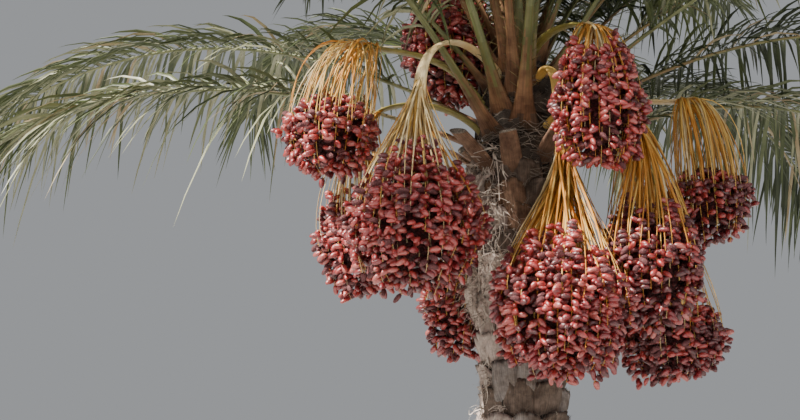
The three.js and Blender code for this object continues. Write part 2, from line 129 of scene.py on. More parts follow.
def crags(across: Array, up: Number, seed: Number) -> Array:
    """Give uneven relief from about -1 to 1.

    It is a sum of six waves, sin(k (x cos w + y sin w) + phase) / n, each finer and fainter than
    the one before, in a direction w and with a phase of its own.

    Args:
        across: The place across, x.
        up: The place up, y.
        seed: What tells one surface from another.

    Returns:
        The relief.
    """
    total = 0.0
    for wave in range(6):
        turn = 2.4 * wave + 6.28 * chance(seed, 3 + wave)
        size = 1.3 * 1.62**wave
        phase = 6.28 * chance(seed, 9 + wave)
        place = across * np.cos(turn) + up * np.sin(turn)
        total = total + np.sin(size * place + phase) / (1 + 0.7 * wave)
    return total / 1.9


def unit(vectors: Array) -> Array:
    """Scale each vector to length 1."""
    return vectors / np.maximum(np.linalg.norm(vectors, axis=-1, keepdims=True), 1e-9)


def square_to(vectors: Array, along: Array) -> Array:
    """Give the unit direction of vectors less what of them runs along a unit direction."""
    return unit(vectors - along * np.sum(vectors * along, axis=-1, keepdims=True))


def turned(vectors: Array, axis: Array, degrees: Array) -> Array:
    """Turn vectors about unit axes that are square to them: v cos a + (axis x v) sin a."""
    angle = np.radians(degrees)[..., None]
    return vectors * np.cos(angle) + np.cross(axis, vectors) * np.sin(angle)


def bezier(corners: Array, part: Array) -> Array:
    """Follow cubic curves.

    A point is (1-t)^3 a + 3 (1-t)^2 t b + 3 (1-t) t^2 c + t^3 d.

    Args:
        corners: The four corners of each curve, (..., 4, 3).
        part: Where on the curve, (..., n) or (n,).

    Returns:
        The points, (..., n, 3).
    """
    t = np.asarray(part)[..., None]
    a, b, c, d = (corners[..., None, i, :] for i in range(4))
    return (1 - t) ** 3 * a + 3 * (1 - t) ** 2 * t * b + 3 * (1 - t) * t**2 * c + t**3 * d


def slope(points: Array) -> Array:
    """Give the unit direction along each line of points, (..., n, 3)."""
    return unit(np.gradient(points, axis=-2))


def travelled(line: Array) -> Array:
    """Give the length from the start of each line to each of its points, (lines, n)."""
    steps = np.linalg.norm(np.diff(line, axis=1, prepend=line[:, :1]), axis=-1)
    return np.cumsum(steps, axis=1)


# Meshes from arrays


def grid_faces(rows: int, columns: int, closed: bool = False) -> Array:
    """List the four-cornered faces of a grid of points, numbered row by row.

    Args:
        rows: Points up the grid.
        columns: Points across it.
        closed: Whether the last column joins the first.

    Returns:
        The corners of each face, (faces, 4).
    """
    row, column = np.meshgrid(np.arange(rows - 1), np.arange(columns - (not closed)), indexing="ij")
    here = row * columns + column
    beside = row * columns + (column + 1) % columns
    return np.stack([here, beside, beside + columns, here + columns], axis=-1).reshape(-1, 4)


def fan_faces(columns: int, first: int, tip: int, flip: bool = False) -> Array:
    """List the three-cornered faces from a closed ring of points to one tip.

    Args:
        columns: Points of the ring.
        first: The number of the ring's first point.
        tip: The number of the tip.
        flip: Whether the faces look the other way.

    Returns:
        The corners of each face, (faces, 3).
    """
    here = np.arange(columns)
    beside = (here + 1) % columns
    ring = [beside, here] if flip else [here, beside]
    return np.stack([first + ring[0], first + ring[1], np.full(columns, tip)], axis=-1)


def closed_faces(rows: int, columns: int) -> tuple[Array, Array]:
    """List the faces of a closed body: rings of points, and after them its two end points.

    Args:
        rows: How many rings there are.
        columns: Points of each ring.

    Returns:
        The four-cornered and the three-cornered faces.
    """
    body = rows * columns
    fans = [fan_faces(columns, 0, body, flip=True), fan_faces(columns, body - columns, body + 1)]
    return grid_faces(rows, columns, closed=True), np.concatenate(fans)


@dataclass
class Shapes:
    """Many like shapes with the same faces, as arrays.

    points is (shapes, corners, 3) and places, the way across and along each surface in metres,
    is (shapes, corners, 2). quads and tris number the corners of one shape, and the tones number
    the finish of each of those faces.
    """

    points: Array
    places: Array
    quads: Array
    tris: Array = field(default_factory=lambda: np.zeros((0, 3), int))
    quad_tones: Array | None = None
    tri_tones: Array | None = None

    def chosen(self, which: Array) -> Shapes:
        """Keep the shapes that a mask or a list of numbers names."""
        return replace(self, points=self.points[which], places=self.places[which])

    def toned(self, tones: Array, first: int, last: int) -> Shapes:
        """Give every quad its tone, and the faces of the first and the last cap theirs."""
        caps = np.repeat([first, last], len(self.tris) // 2)
        return replace(self, quad_tones=tones, tri_tones=caps)

    def faces(self, pattern: Array, first: int) -> Array:
        """Repeat one shape's faces for every shape, counted on from a first point.

        Args:
            pattern: The faces of one shape.
            first: The number of the first shape's first point.

        Returns:
            The faces of all the shapes.
        """
        stride = self.points.shape[1]
        starts = first + stride * np.arange(len(self.points))
        return (pattern[None] + starts[:, None, None]).reshape(-1, pattern.shape[1])

    def tones(self, pattern: Array, tones: Array | None, numbers: Array) -> Array:
        """Give the finish number of every face that a pattern makes."""
        each = np.zeros(len(pattern), int) if tones is None else tones
        return np.tile(numbers[each], len(self.points))


def tube(
    line: Array,
    side: Array,
    face: Array,
    wide: Array,
    deep: Array,
    columns: int,
    flat: float = 1.0,
    crease: Number = 0.0,
) -> Shapes:
    """Carry an oval section along lines of points and close both ends.

    A point of the section is wide cos a to the side and deep sin a along the face. The upper
    half is flattened by the factor flat, and the back has a crease, less by exp(-(cos a/0.3)^2).

    Args:
        line: The middle lines, (shapes, rows, 3).
        side: The unit direction of the width at each point of a line.
        face: The unit direction of the depth at each point of a line.
        wide: Half width at each point, (shapes, rows).
        deep: Half depth at each point, (shapes, rows).
        columns: Points round the section.
        flat: How much of its depth the upper half keeps.
        crease: How deep the back's crease is, as a share of the depth, at each point.

    Returns:
        One closed shape for each line.
    """
    angle = ring_angles(columns)
    across = wide[..., None] * np.cos(angle)
    groove = np.exp(-((np.cos(angle) / 0.3) ** 2))
    back = 1 - np.broadcast_to(crease, wide.shape)[..., None] * groove
    through = deep[..., None] * np.sin(angle) * np.where(np.sin(angle) > 0, flat, back)
    rings = line[:, :, None] + side[:, :, None] * across[..., None]
    rings = rings + face[:, :, None] * through[..., None]
    count, rows = line.shape[:2]
    along = np.broadcast_to(travelled(line)[..., None], across.shape)
    places = np.stack([across + 0.5 * through, along], axis=-1)
    body = rows * columns
    return Shapes(
        np.concatenate([rings.reshape(count, body, 3), line[:, [0, -1]]], axis=1),
        np.concatenate([places.reshape(count, body, 2), places[:, [0, -1], 0]], axis=1),
        *closed_faces(rows, columns),
    )


def straps(line: Array, across: Array, half_width: Array) -> Shapes:
    """Make flat straps of two points a row along lines of points.

    Args:
        line: The middle lines, (shapes, rows, 3).
        across: The unit direction of the width, (shapes, rows, 3).
        half_width: Half width at each point, (shapes, rows).

    Returns:
        One open strap for each line.
    """
    reach = across * half_width[..., None]
    points = np.stack([line - reach, line + reach], axis=2).reshape(len(line), -1, 3)
    along = np.repeat(travelled(line), 2, axis=1)
    sides = np.stack([-half_width, half_width], axis=2).reshape(len(line), -1)
    return Shapes(points, np.stack([sides, along], axis=-1), grid_faces(line.shape[1], 2))


def sheets(points: Array, across: Array, along: Array) -> Shapes:
    """Make open sheets from grids of points.

    Args:
        points: The points of each sheet, (sheets, rows, columns, 3).
        across: How far across its sheet each point is, in metres.
        along: How far along its sheet each point is, in metres.

    Returns:
        One open sheet for each grid.
    """
    count, rows, columns = points.shape[:3]
    places = np.stack(np.broadcast_arrays(across, along), axis=-1)
    return Shapes(
        points.reshape(count, -1, 3), places.reshape(count, -1, 2), grid_faces(rows, columns)
    )


# Shader node groups


class Grain(Enum):
    """The fine relief of a surface."""

    FIBRE = "fibre"
    RUGGED = "rugged"
    WRINKLE = "wrinkle"
    WEAVE = "weave"


Group = tuple[bpy.types.ShaderNodeTree, bpy.types.Node, bpy.types.Node]
Wire = tuple[bpy.types.Node, str | int, bpy.types.Node, str | int]


def new_group(name: str, inputs: dict[str, str], outputs: dict[str, str]) -> Group:
    """Start a shader node group.

    Args:
        name: The group's name.
        inputs: Socket kind for each input's name.
        outputs: Socket kind for each output's name.

    Returns:
        The group's tree, its input node and its output node.
    """
    tree = bpy.data.node_groups.new(name, "ShaderNodeTree")
    for way, sockets in (("INPUT", inputs), ("OUTPUT", outputs)):
        for label, kind in sockets.items():
            tree.interface.new_socket(label, in_out=way, socket_type=f"NodeSocket{kind}")
    return tree, tree.nodes.new("NodeGroupInput"), tree.nodes.new("NodeGroupOutput")


def grain_group(grain: Grain) -> Group:
    """Start the group of a grain: a place and two scales go in, and a height comes out."""
    inputs = {"Vector": "Vector", "Across": "Float", "Along": "Float"}
    return new_group(grain.value, inputs, {"Height": "Float"})


def put(tree: bpy.types.ShaderNodeTree, kind: str, **values: object) -> bpy.types.Node:
    """Add a node and set its options and its unlinked inputs.

    Args:
        tree: Where the node goes.
        kind: The node's kind without the ShaderNode prefix.
        **values: An option by its own name, or an input by its label with _ for a space.

    Returns:
        The node.
    """
    node = tree.nodes.new(f"ShaderNode{kind}")
    for label, value in values.items():
        if hasattr(node, label):
            setattr(node, label, value)
        else:
            node.inputs[label.replace("_", " ")].default_value = value
    return node


def put_math(tree: bpy.types.ShaderNodeTree, operation: str, second: float) -> bpy.types.Node:
    """Add a node that works one operation on its input and a fixed number.

    Args:
        tree: Where the node goes.
        operation: What it works out.
        second: The fixed number.

    Returns:
        The node.
    """
    node = put(tree, "Math", operation=operation)
    node.inputs[1].default_value = second
    return node


def wire(tree: bpy.types.ShaderNodeTree, *wires: Wire) -> None:
    """Link nodes, each link given as a node, its output, the next node and its input."""
    for start, output, end, entry in wires:
        tree.links.new(start.outputs[output], end.inputs[entry])


def mottle_group() -> bpy.types.ShaderNodeTree:
    """Build the patches of two colours that run into each other, from soft noise.

    Returns:
        The group.
    """
    tree, given, out = new_group(
        "mottle",
        {"Vector": "Vector", "Scale": "Float", "Light": "Color", "Dark": "Color"},
        {"Color": "Color", "Mask": "Float"},
    )
    noise = put(tree, "TexNoise", Detail=4.0, Roughness=0.6)
    spread = put(tree, "MapRange", From_Min=0.36, From_Max=0.64)
    blend = put(tree, "Mix", data_type="RGBA")
    first_colour, second_colour, mixed_colour = 6, 7, 2
    wire(
        tree,
        (given, "Vector", noise, "Vector"),
        (given, "Scale", noise, "Scale"),
        (noise, "Fac", spread, "Value"),
        (spread, "Result", blend, "Factor"),
        (given, "Light", blend, first_colour),
        (given, "Dark", blend, second_colour),
        (blend, mixed_colour, out, "Color"),
        (spread, "Result", out, "Mask"),
    )
    return tree


def fibre_group() -> bpy.types.ShaderNodeTree:
    """Build threads that run along a surface, from noise drawn out by the two scales.

    Returns:
        The group.
    """
    tree, given, out = grain_group(Grain.FIBRE)
    scales = put(tree, "CombineXYZ")
    drawn = put(tree, "VectorMath", operation="MULTIPLY")
    noise = put(tree, "TexNoise", Scale=1.0, Detail=3.0, Roughness=0.65)
    wire(
        tree,
        (given, "Across", scales, "X"),
        (given, "Along", scales, "Y"),
        (given, "Across", scales, "Z"),
        (given, "Vector", drawn, 0),
        (scales, "Vector", drawn, 1),
        (drawn, "Vector", noise, "Vector"),
        (noise, "Fac", out, "Height"),
    )
    return tree


def rugged_group() -> bpy.types.ShaderNodeTree:
    """Build weathered bark: threads on uneven lumps, four times as close as a thread is long.

    Returns:
        The group.
    """
    tree, given, out = grain_group(Grain.RUGGED)
    threads = placed_group(tree, Grain.FIBRE.value)
    closer = put_math(tree, "MULTIPLY", 4.0)
    lumps = put(tree, "TexNoise", Detail=6.0, Roughness=0.72)
    both = put(tree, "Mix")
    both.inputs["Factor"].default_value = 0.42
    first, second, mixed = 2, 3, 0
    wire(
        tree,
        *((given, label, threads, label) for label in ("Vector", "Across", "Along")),
        (given, "Along", closer, 0),
        (given, "Vector", lumps, "Vector"),
        (closer, "Value", lumps, "Scale"),
        (threads, "Height", both, first),
        (lumps, "Fac", both, second),
        (both, mixed, out, "Height"),
    )
    return tree


def wrinkle_group() -> bpy.types.ShaderNodeTree:
    """Build creases, where two bands of noise cross their middle value.

    Returns:
        The group.
    """
    tree, given, out = grain_group(Grain.WRINKLE)
    noise = put(tree, "TexNoise", Detail=2.0, Roughness=0.5)
    centred = put_math(tree, "SUBTRACT", 0.5)
    crease = put(tree, "Math", operation="ABSOLUTE")
    steep = put(tree, "MapRange", From_Min=0.0, From_Max=0.12)
    wire(
        tree,
        (given, "Vector", noise, "Vector"),
        (given, "Across", noise, "Scale"),
        (noise, "Fac", centred, 0),
        (centred, "Value", crease, 0),
        (crease, "Value", steep, "Value"),
        (steep, "Result", out, "Height"),
    )
    return tree


def weave_group() -> bpy.types.ShaderNodeTree:
    """Build coarse crossed threads: the higher of two sets of bands at right angles.

    Returns:
        The group.
    """
    tree, given, out = grain_group(Grain.WEAVE)
    higher = put(tree, "Math", operation="MAXIMUM")
    for number, (label, direction) in enumerate([("Across", "X"), ("Along", "Y")]):
        bands = put(tree, "TexWave", bands_direction=direction, Distortion=9.0, Detail=4.0)
        wire(
            tree,
            (given, "Vector", bands, "Vector"),
            (given, label, bands, "Scale"),
            (bands, "Fac", higher, number),
        )
    wire(tree, (higher, "Value", out, "Height"))
    return tree


GROUP_MAKERS = {
    "mottle": mottle_group,
    Grain.FIBRE.value: fibre_group,
    Grain.RUGGED.value: rugged_group,
    Grain.WRINKLE.value: wrinkle_group,
    Grain.WEAVE.value: weave_group,
}


def placed_group(tree: bpy.types.ShaderNodeTree, name: str) -> bpy.types.Node:
    """Put a node group into a tree, and build the group the first time.

    Args:
        tree: Where the node goes.
        name: The group's name.

    Returns:
        The node that holds the group.
    """
    node = put(tree, "Group")
    node.node_tree = bpy.data.node_groups.get(name) or GROUP_MAKERS[name]()
    return node


# Finishes


COAT_ROUGHNESS = 0.38
COAT_IOR = 1.8


@dataclass(frozen=True)
class Finish:
    """A surface of two near colours in patches, with grain that tints it and stands out of it.

    The roughness goes from its first value in the light patches to its second in the dark ones,
    and the colour falls to the share groove in the grain's depths: partly the grain's own darker
    threads, partly painted shade in its grooves. patches and the grain's two scales are counts a
    metre, and depth is the grain's relief in metres.
    """

    name: str
    light: Colour
    dark: Colour
    roughness: Limits
    groove: float
    depth: float
    grain: Grain
    patches: float
    across: float
    along: float
    coat: float = 0.0

    def material(self) -> bpy.types.Material:
        """Give the finish's material, made the first time it is asked for.

        Returns:
            The material.
        """
        found = bpy.data.materials.get(self.name)
        if found:
            return found
        made = bpy.data.materials.new(self.name)
        made.use_nodes = True
        made.diffuse_color = (*self.light, 1.0)
        tree = made.node_tree
        shader = tree.nodes["Principled BSDF"]
        shader.inputs["Coat Weight"].default_value = self.coat
        shader.inputs["Coat Roughness"].default_value = COAT_ROUGHNESS
        shader.inputs["Coat IOR"].default_value = COAT_IOR
        coords = put(tree, "TexCoord")
        mottle = placed_group(tree, "mottle")
        mottle.inputs["Scale"].default_value = self.patches
        mottle.inputs["Light"].default_value = (*self.light, 1.0)
        mottle.inputs["Dark"].default_value = (*self.dark, 1.0)
        grain = placed_group(tree, self.grain.value)
        grain.inputs["Across"].default_value = self.across
        grain.inputs["Along"].default_value = self.along
        # Darker colour in the grain's low places: partly its own darker threads, partly painted
        # shade
        shade = put(tree, "MapRange", From_Min=0.3, From_Max=0.6, To_Min=self.groove, To_Max=1.0)
        tint = put(tree, "VectorMath", operation="SCALE")
        rough = put(tree, "MapRange", To_Min=self.roughness[0], To_Max=self.roughness[1])
        bump = put(tree, "Bump", Distance=self.depth, Strength=1.0)
        wire(
            tree,
            (coords, "Object", mottle, "Vector"),
            (coords, "Object" if self.grain is Grain.WRINKLE else "UV", grain, "Vector"),
            (grain, "Height", shade, "Value"),
            (mottle, "Color", tint, 0),
            (shade, "Result", tint, "Scale"),
            (tint, "Vector", shader, "Base Color"),
            (mottle, "Mask", rough, "Value"),
            (rough, "Result", shader, "Roughness"),
            (grain, "Height", bump, "Height"),
            (bump, "Normal", shader, "Normal"),
        )
        return made


def leaf(tone: str, light: Colour, dark: Colour, rough: Limits, groove: float) -> Finish:
    """Give the finish of a leaflet: fine threads along it."""
    return Finish(f"leaf_{tone}", light, dark, rough, groove, 0.0005, Grain.FIBRE, 9, 700, 12)


class Leaf(Enum):
    """The tones of the leaflets."""

    DEEP = leaf("deep_green", (0.045, 0.062, 0.018), (0.020, 0.031, 0.010), (0.38, 0.54), 0.75)
    GREEN = leaf("green", (0.088, 0.112, 0.034), (0.046, 0.066, 0.020), (0.38, 0.54), 0.78)
    GREY = leaf("grey_green", (0.155, 0.178, 0.078), (0.092, 0.115, 0.046), (0.4, 0.56), 0.8)
    SILVER = leaf("silver_green", (0.40, 0.405, 0.255), (0.26, 0.27, 0.16), (0.34, 0.5), 0.82)
    DRY = replace(leaf("dry", (0.52, 0.43, 0.27), (0.36, 0.27, 0.15), (0.6, 0.8), 0.7), depth=0.0006)


def skin(
    tone: str,
    light: Colour,
    dark: Colour,
    rough: Limits,
    groove: float,
    depth: float,
    wrinkles: float,
    coat: float = 0.0,
) -> Finish:
    """Give the finish of a date: wrinkled skin under a waxy coat."""
    grain = (Grain.WRINKLE, 45, wrinkles, wrinkles)
    return Finish(f"date_{tone}", light, dark, rough, groove, depth, *grain, coat)


class Skin(Enum):
    """The colours of the dates."""

    CRIMSON = skin(
        "crimson", (0.38, 0.016, 0.021), (0.23, 0.008, 0.012), (0.3, 0.46), 0.8, 0.0012, 95, 0.85
    )
    SCARLET = skin(
        "scarlet", (0.52, 0.046, 0.036), (0.36, 0.020, 0.019), (0.28, 0.44), 0.84, 0.001, 85, 0.85
    )
    ROSE = skin(
        "rose", (0.60, 0.130, 0.105), (0.45, 0.060, 0.052), (0.32, 0.48), 0.86, 0.001, 85, 0.85
    )
    MAROON = skin(
        "maroon", (0.18, 0.009, 0.013), (0.092, 0.005, 0.008), (0.3, 0.48), 0.7, 0.0016, 110, 0.7
    )
    DUSKY = skin(
        "dusky", (0.27, 0.092, 0.094), (0.14, 0.034, 0.040), (0.5, 0.7), 0.65, 0.002, 130
    )
    # Painted shade: the near-black red of the bunches' cores and of the dates deep inside them
    SHADE = skin("shade", (0.13, 0.010, 0.012), (0.06, 0.005, 0.007), (0.6, 0.8), 0.4, 0.004, 60)


SKIN_SHARES = {
    Skin.MAROON: 0.17,
    Skin.DUSKY: 0.10,
    Skin.CRIMSON: 0.30,
    Skin.SCARLET: 0.27,
    Skin.ROSE: 0.16,
}

# Each partial finish holds what a family of surfaces shares
straw = partial(Finish, depth=0.0008, grain=Grain.FIBRE, patches=14, across=260, along=7)


class Straw(Enum):
    """The colours of the stalks and strands."""

    CREAM = straw("straw_cream", (0.80, 0.65, 0.38), (0.70, 0.50, 0.22), (0.42, 0.6), 0.84)
    YELLOW = straw("straw_yellow", (0.80, 0.52, 0.15), (0.68, 0.38, 0.08), (0.4, 0.58), 0.82)
    ORANGE = straw("straw_orange", (0.76, 0.36, 0.065), (0.60, 0.235, 0.035), (0.42, 0.62), 0.8)
    OLIVE = Finish(
        "straw_olive", (0.33, 0.28, 0.07), (0.21, 0.18, 0.045), (0.38, 0.55), 0.7, 0.001,
        Grain.FIBRE, 14, 220, 6,
    )


husk = partial(Finish, grain=Grain.FIBRE, patches=12)
sap = partial(Finish, grain=Grain.FIBRE, patches=10, along=3)


class Rib(Enum):
    """The colours along a frond's rib, from its foot to its tip."""

    HUSK = husk(
        "rib_husk", (0.17, 0.10, 0.06), (0.09, 0.052, 0.032), (0.7, 0.9), 0.42, 0.0028,
        across=190, along=5,
    )
    RUST = husk(
        "rib_rust", (0.29, 0.135, 0.06), (0.14, 0.062, 0.028), (0.62, 0.84), 0.42, 0.0024,
        across=180, along=4,
    )
    TAN = husk(
        "rib_tan", (0.33, 0.165, 0.07), (0.18, 0.085, 0.036), (0.55, 0.78), 0.5, 0.0018,
        across=180, along=4,
    )
    STRAW = husk(
        "rib_straw", (0.29, 0.17, 0.066), (0.18, 0.105, 0.04), (0.5, 0.7), 0.58, 0.0014,
        across=190, along=3,
    )
    OLIVE = sap(
        "rib_olive", (0.225, 0.17, 0.058), (0.145, 0.115, 0.036), (0.4, 0.6), 0.68, 0.001,
        across=190,
    )
    MOSS = sap(
        "rib_moss", (0.18, 0.17, 0.048), (0.115, 0.115, 0.03), (0.36, 0.55), 0.72, 0.0009,
        across=190,
    )
    GREEN = sap(
        "rib_green", (0.165, 0.18, 0.062), (0.105, 0.12, 0.038), (0.34, 0.5), 0.76, 0.0008,
        across=220,
    )
    SAGE = sap(
        "rib_sage", (0.22, 0.235, 0.10), (0.15, 0.165, 0.065), (0.36, 0.52), 0.8, 0.0006,
        across=260,
    )
    PALE = sap(
        "rib_pale", (0.31, 0.315, 0.16), (0.22, 0.235, 0.10), (0.38, 0.55), 0.8, 0.0006,
        across=300,
    )


RIB_LOOKS = (
    tuple(Rib),
    (Rib.HUSK, Rib.RUST, Rib.TAN, Rib.STRAW, Rib.MOSS, Rib.GREEN, Rib.SAGE, Rib.PALE, Rib.PALE),
    (Rib.HUSK, Rib.RUST, Rib.RUST, Rib.TAN, Rib.TAN, Rib.STRAW, Rib.OLIVE, Rib.GREEN, Rib.SAGE),
)

netted = partial(Finish, grain=Grain.WEAVE)
weathered = partial(Finish, grain=Grain.RUGGED, patches=16)
threaded = partial(Finish, depth=0.0006, grain=Grain.FIBRE, patches=16, across=900, along=14)


class Bark(Enum):
    """The surfaces of the trunk."""

    # The core's dark brown: partly the netting's own colour, partly painted shade in the gaps
    # between bases
    SHADE = netted(
        "bark_shade", (0.075, 0.055, 0.042), (0.03, 0.022, 0.018), (0.85, 1.0), 0.45, 0.004,
        patches=10, across=60, along=42,
    )
    BROWN = weathered(
        "bark_brown", (0.25, 0.178, 0.136), (0.108, 0.073, 0.054), (0.8, 0.98), 0.26, 0.009,
        across=240, along=11,
    )
    GREY = weathered(
        "bark_grey", (0.36, 0.31, 0.285), (0.185, 0.135, 0.106), (0.85, 1.0), 0.28, 0.010,
        across=210, along=12,
    )
    WARM = weathered(
        "bark_warm", (0.35, 0.20, 0.12), (0.17, 0.09, 0.055), (0.75, 0.95), 0.32, 0.008,
        across=250, along=12,
    )
    # A pale bark for the bases on the sun's side: painted sunlight
    BLEACHED = weathered(
        "bark_bleached", (0.74, 0.60, 0.525), (0.44, 0.33, 0.275), (0.85, 1.0), 0.36, 0.010,
        across=210, along=12,
    )
    CUT = Finish(
        "bark_cut", (0.42, 0.36, 0.30), (0.24, 0.195, 0.155), (0.85, 1.0), 0.5, 0.003,
        Grain.WRINKLE, 20, 120, 120,
    )
    FIBRE = threaded("bark_fibre", (0.84, 0.72, 0.62), (0.58, 0.475, 0.395), (0.8, 0.98), 0.6)
    STRAND = threaded("bark_strand", (0.40, 0.335, 0.27), (0.22, 0.17, 0.135), (0.85, 1.0), 0.6)
    MAT = netted(
        "bark_mat", (0.95, 0.78, 0.68), (0.66, 0.51, 0.43), (0.85, 1.0), 0.6, 0.002,
        patches=26, across=210, along=160,
    )
    SHEATH = netted(
        "bark_sheath", (0.135, 0.105, 0.082), (0.065, 0.05, 0.04), (0.85, 1.0), 0.4, 0.003,
        patches=9, across=75, along=55,
    )


# Pieces


def add_piece(
    name: str,
    parts: list[tuple[Shapes, Finish | tuple[Finish, ...]]],
    stands_for: list[str],
) -> None:
    """Join shapes into one mesh object that rides on the palm.

    Args:
        name: The piece's name.
        parts: Shapes and their finish, or a finish for each of their tones.
        stands_for: The solid nodes that the piece replaces.
    """
    points, places, quads, tris, quad_finish, tri_finish = [], [], [], [], [], []
    finishes: list[Finish] = []
    total = 0
    for shapes, given in parts:
        wanted = given if isinstance(given, tuple) else (given,)
        finishes += [finish for finish in wanted if finish not in finishes]
        numbers = np.array([finishes.index(finish) for finish in wanted])
        quads.append(shapes.faces(shapes.quads, total))
        tris.append(shapes.faces(shapes.tris, total))
        quad_finish.append(shapes.tones(shapes.quads, shapes.quad_tones, numbers))
        tri_finish.append(shapes.tones(shapes.tris, shapes.tri_tones, numbers))
        points.append(shapes.points.reshape(-1, 3))
        places.append(shapes.places.reshape(-1, 2))
        total += len(points[-1])
    mesh = filled_mesh(name, np.concatenate(points), np.concatenate(quads), np.concatenate(tris))
    mesh.polygons.foreach_set(
        "material_index", np.concatenate(quad_finish + tri_finish).astype(np.int32)
    )
    corners = np.empty(len(mesh.loops), np.int32)
    mesh.loops.foreach_get("vertex_index", corners)
    layer = mesh.uv_layers.new(name="surface")
    layer.data.foreach_set("uv", np.concatenate(places)[corners].astype(np.float32).ravel())
    for finish in finishes:
        mesh.materials.append(finish.material())
    piece = bpy.data.objects.new(name, mesh)
    bpy.context.scene.collection.objects.link(piece)
    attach(piece, "root")
    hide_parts(*stands_for)
    count = 2 * sum(map(len, quads)) + sum(map(len, tris))
    log.info("%s: %d triangles, %d finishes", name, count, len(finishes))


def filled_mesh(name: str, points: Array, quads: Array, tris: Array) -> bpy.types.Mesh:
    """Fill a smooth-shaded mesh from arrays of points and of four- and three-cornered faces.

    Args:
        name: The mesh's name.
        points: Its points, (n, 3).
        quads: The corners of its four-cornered faces.
        tris: The corners of its three-cornered faces.

    Returns:
        The mesh.
    """
    mesh = bpy.data.meshes.new(name)
    mesh.vertices.add(len(points))
    mesh.vertices.foreach_set("co", points.astype(np.float32).ravel())
    corners = np.concatenate([quads.ravel(), tris.ravel()]).astype(np.int32)
    mesh.loops.add(len(corners))
    mesh.loops.foreach_set("vertex_index", corners)
    starts = np.concatenate([np.arange(len(quads)) * 4, len(quads) * 4 + np.arange(len(tris)) * 3])
    mesh.polygons.add(len(starts))
    mesh.polygons.foreach_set("loop_start", starts.astype(np.int32))
    mesh.polygons.foreach_set("use_smooth", np.ones(len(starts), bool))
    mesh.update(calc_edges=True)
    mesh.validate()
    return mesh


def node_names(start: str) -> list[str]:
    """List the solid model's nodes whose names start with a word."""
    return sorted(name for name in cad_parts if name.startswith(start))


# The trunk


@dataclass(frozen=True)
class TrunkForm:
    """The line and width of the trunk and of the growing heart on top of it.

    wrap_radius is the radius by which a width on the trunk becomes an angle round it.
    """

    crown_z: float = 3.48
    heart_height: float = 0.64
    radius_low: float = 0.176
    radius_high: float = 0.150
    flare_width: float = 0.105
    flare_height: float = 0.25
    lean: tuple[float, float] = (0.034, -0.022)
    lean_by_z: float = 1.9
    wrap_radius: float = 0.16

    def axis(self, z: Number) -> Array:
        """Give the trunk's middle at heights: the lean follows 3 t^2 - 2 t^3 up to lean_by_z.

        Args:
            z: The heights.

        Returns:
            The points, (..., 3).
        """
        height = np.asarray(z, float)
        part = np.clip(height / self.lean_by_z, 0, 1)
        eased = part * part * (3 - 2 * part)
        return np.stack([self.lean[0] * eased, self.lean[1] * eased, height], axis=-1)

    def radius(self, z: Number) -> Array:
        """Give the trunk's radius at heights: a straight taper, a flare that fades out, a dome.

        Args:
            z: The heights.

        Returns:
            The radii.
        """
        height = np.asarray(z, float)
        flare = self.flare_width * np.exp(-height / self.flare_height)
        clad = mix(self.radius_low, self.radius_high, height / self.crown_z) + flare
        part = np.clip((height - self.crown_z) / self.heart_height, 0, 1)
        dome = self.radius_high * np.sqrt(np.maximum(1 - part * part, 0.02))
        return np.where(height <= self.crown_z, clad, dome)

    def clad_radius(self, z: Number) -> Array:
        """Give the trunk's radius at heights, kept at that of the crown's foot above it."""
        return self.radius(np.minimum(z, self.crown_z))

    def beside(self, azimuth: Array, distance: Array, z: Array) -> Array:
        """Give the point at a direction and distance from the trunk's middle line."""
        return self.axis(z) + outward(azimuth) * np.asarray(distance)[..., None]


@dataclass(frozen=True)
class TrunkCore:
    """The netted core of the trunk and its heart.

    A ridge has a height, a count round the trunk and a turn for each metre up it. The core's dark
    brown is partly the netting's own colour and partly painted shade where it shows between the
    leaf bases.
    """

    form: TrunkForm
    rows: int = 110
    columns: int = 60
    inset: float = 0.006
    ridges: tuple[tuple[float, float, float], ...] = ((0.005, 9, 31), (0.004, 14, -53))

    def shapes(self) -> Shapes:
        """Make the core: the trunk's radius less the inset, with sine ridges that lean up it.

        Returns:
            One closed shape.
        """
        top = self.form.crown_z + self.form.heart_height
        z = np.linspace(0, top, self.rows)[:, None]
        angle = ring_angles(self.columns)
        ridges = sum(size * np.sin(count * angle + turn * z) for size, count, turn in self.ridges)
        radius = self.form.radius(z) - self.inset + ridges
        points = self.form.axis(z) + outward(np.degrees(angle)) * radius[..., None]
        places = np.stack(np.broadcast_arrays(angle * self.form.wrap_radius, z), axis=-1)
        return Shapes(
            np.concatenate([points.reshape(-1, 3), self.form.axis(np.array([0, top]))])[None],
            np.concatenate([places.reshape(-1, 2), np.zeros((2, 2))])[None],
            *closed_faces(self.rows, self.columns),
        )


BARK_TONES = {
    Bark.GREY: (0.0, 0.45),
    Bark.BROWN: (0.45, 0.85),
    Bark.WARM: (0.85, 2.0),
    Bark.BLEACHED: (2.0, 3.0),
}


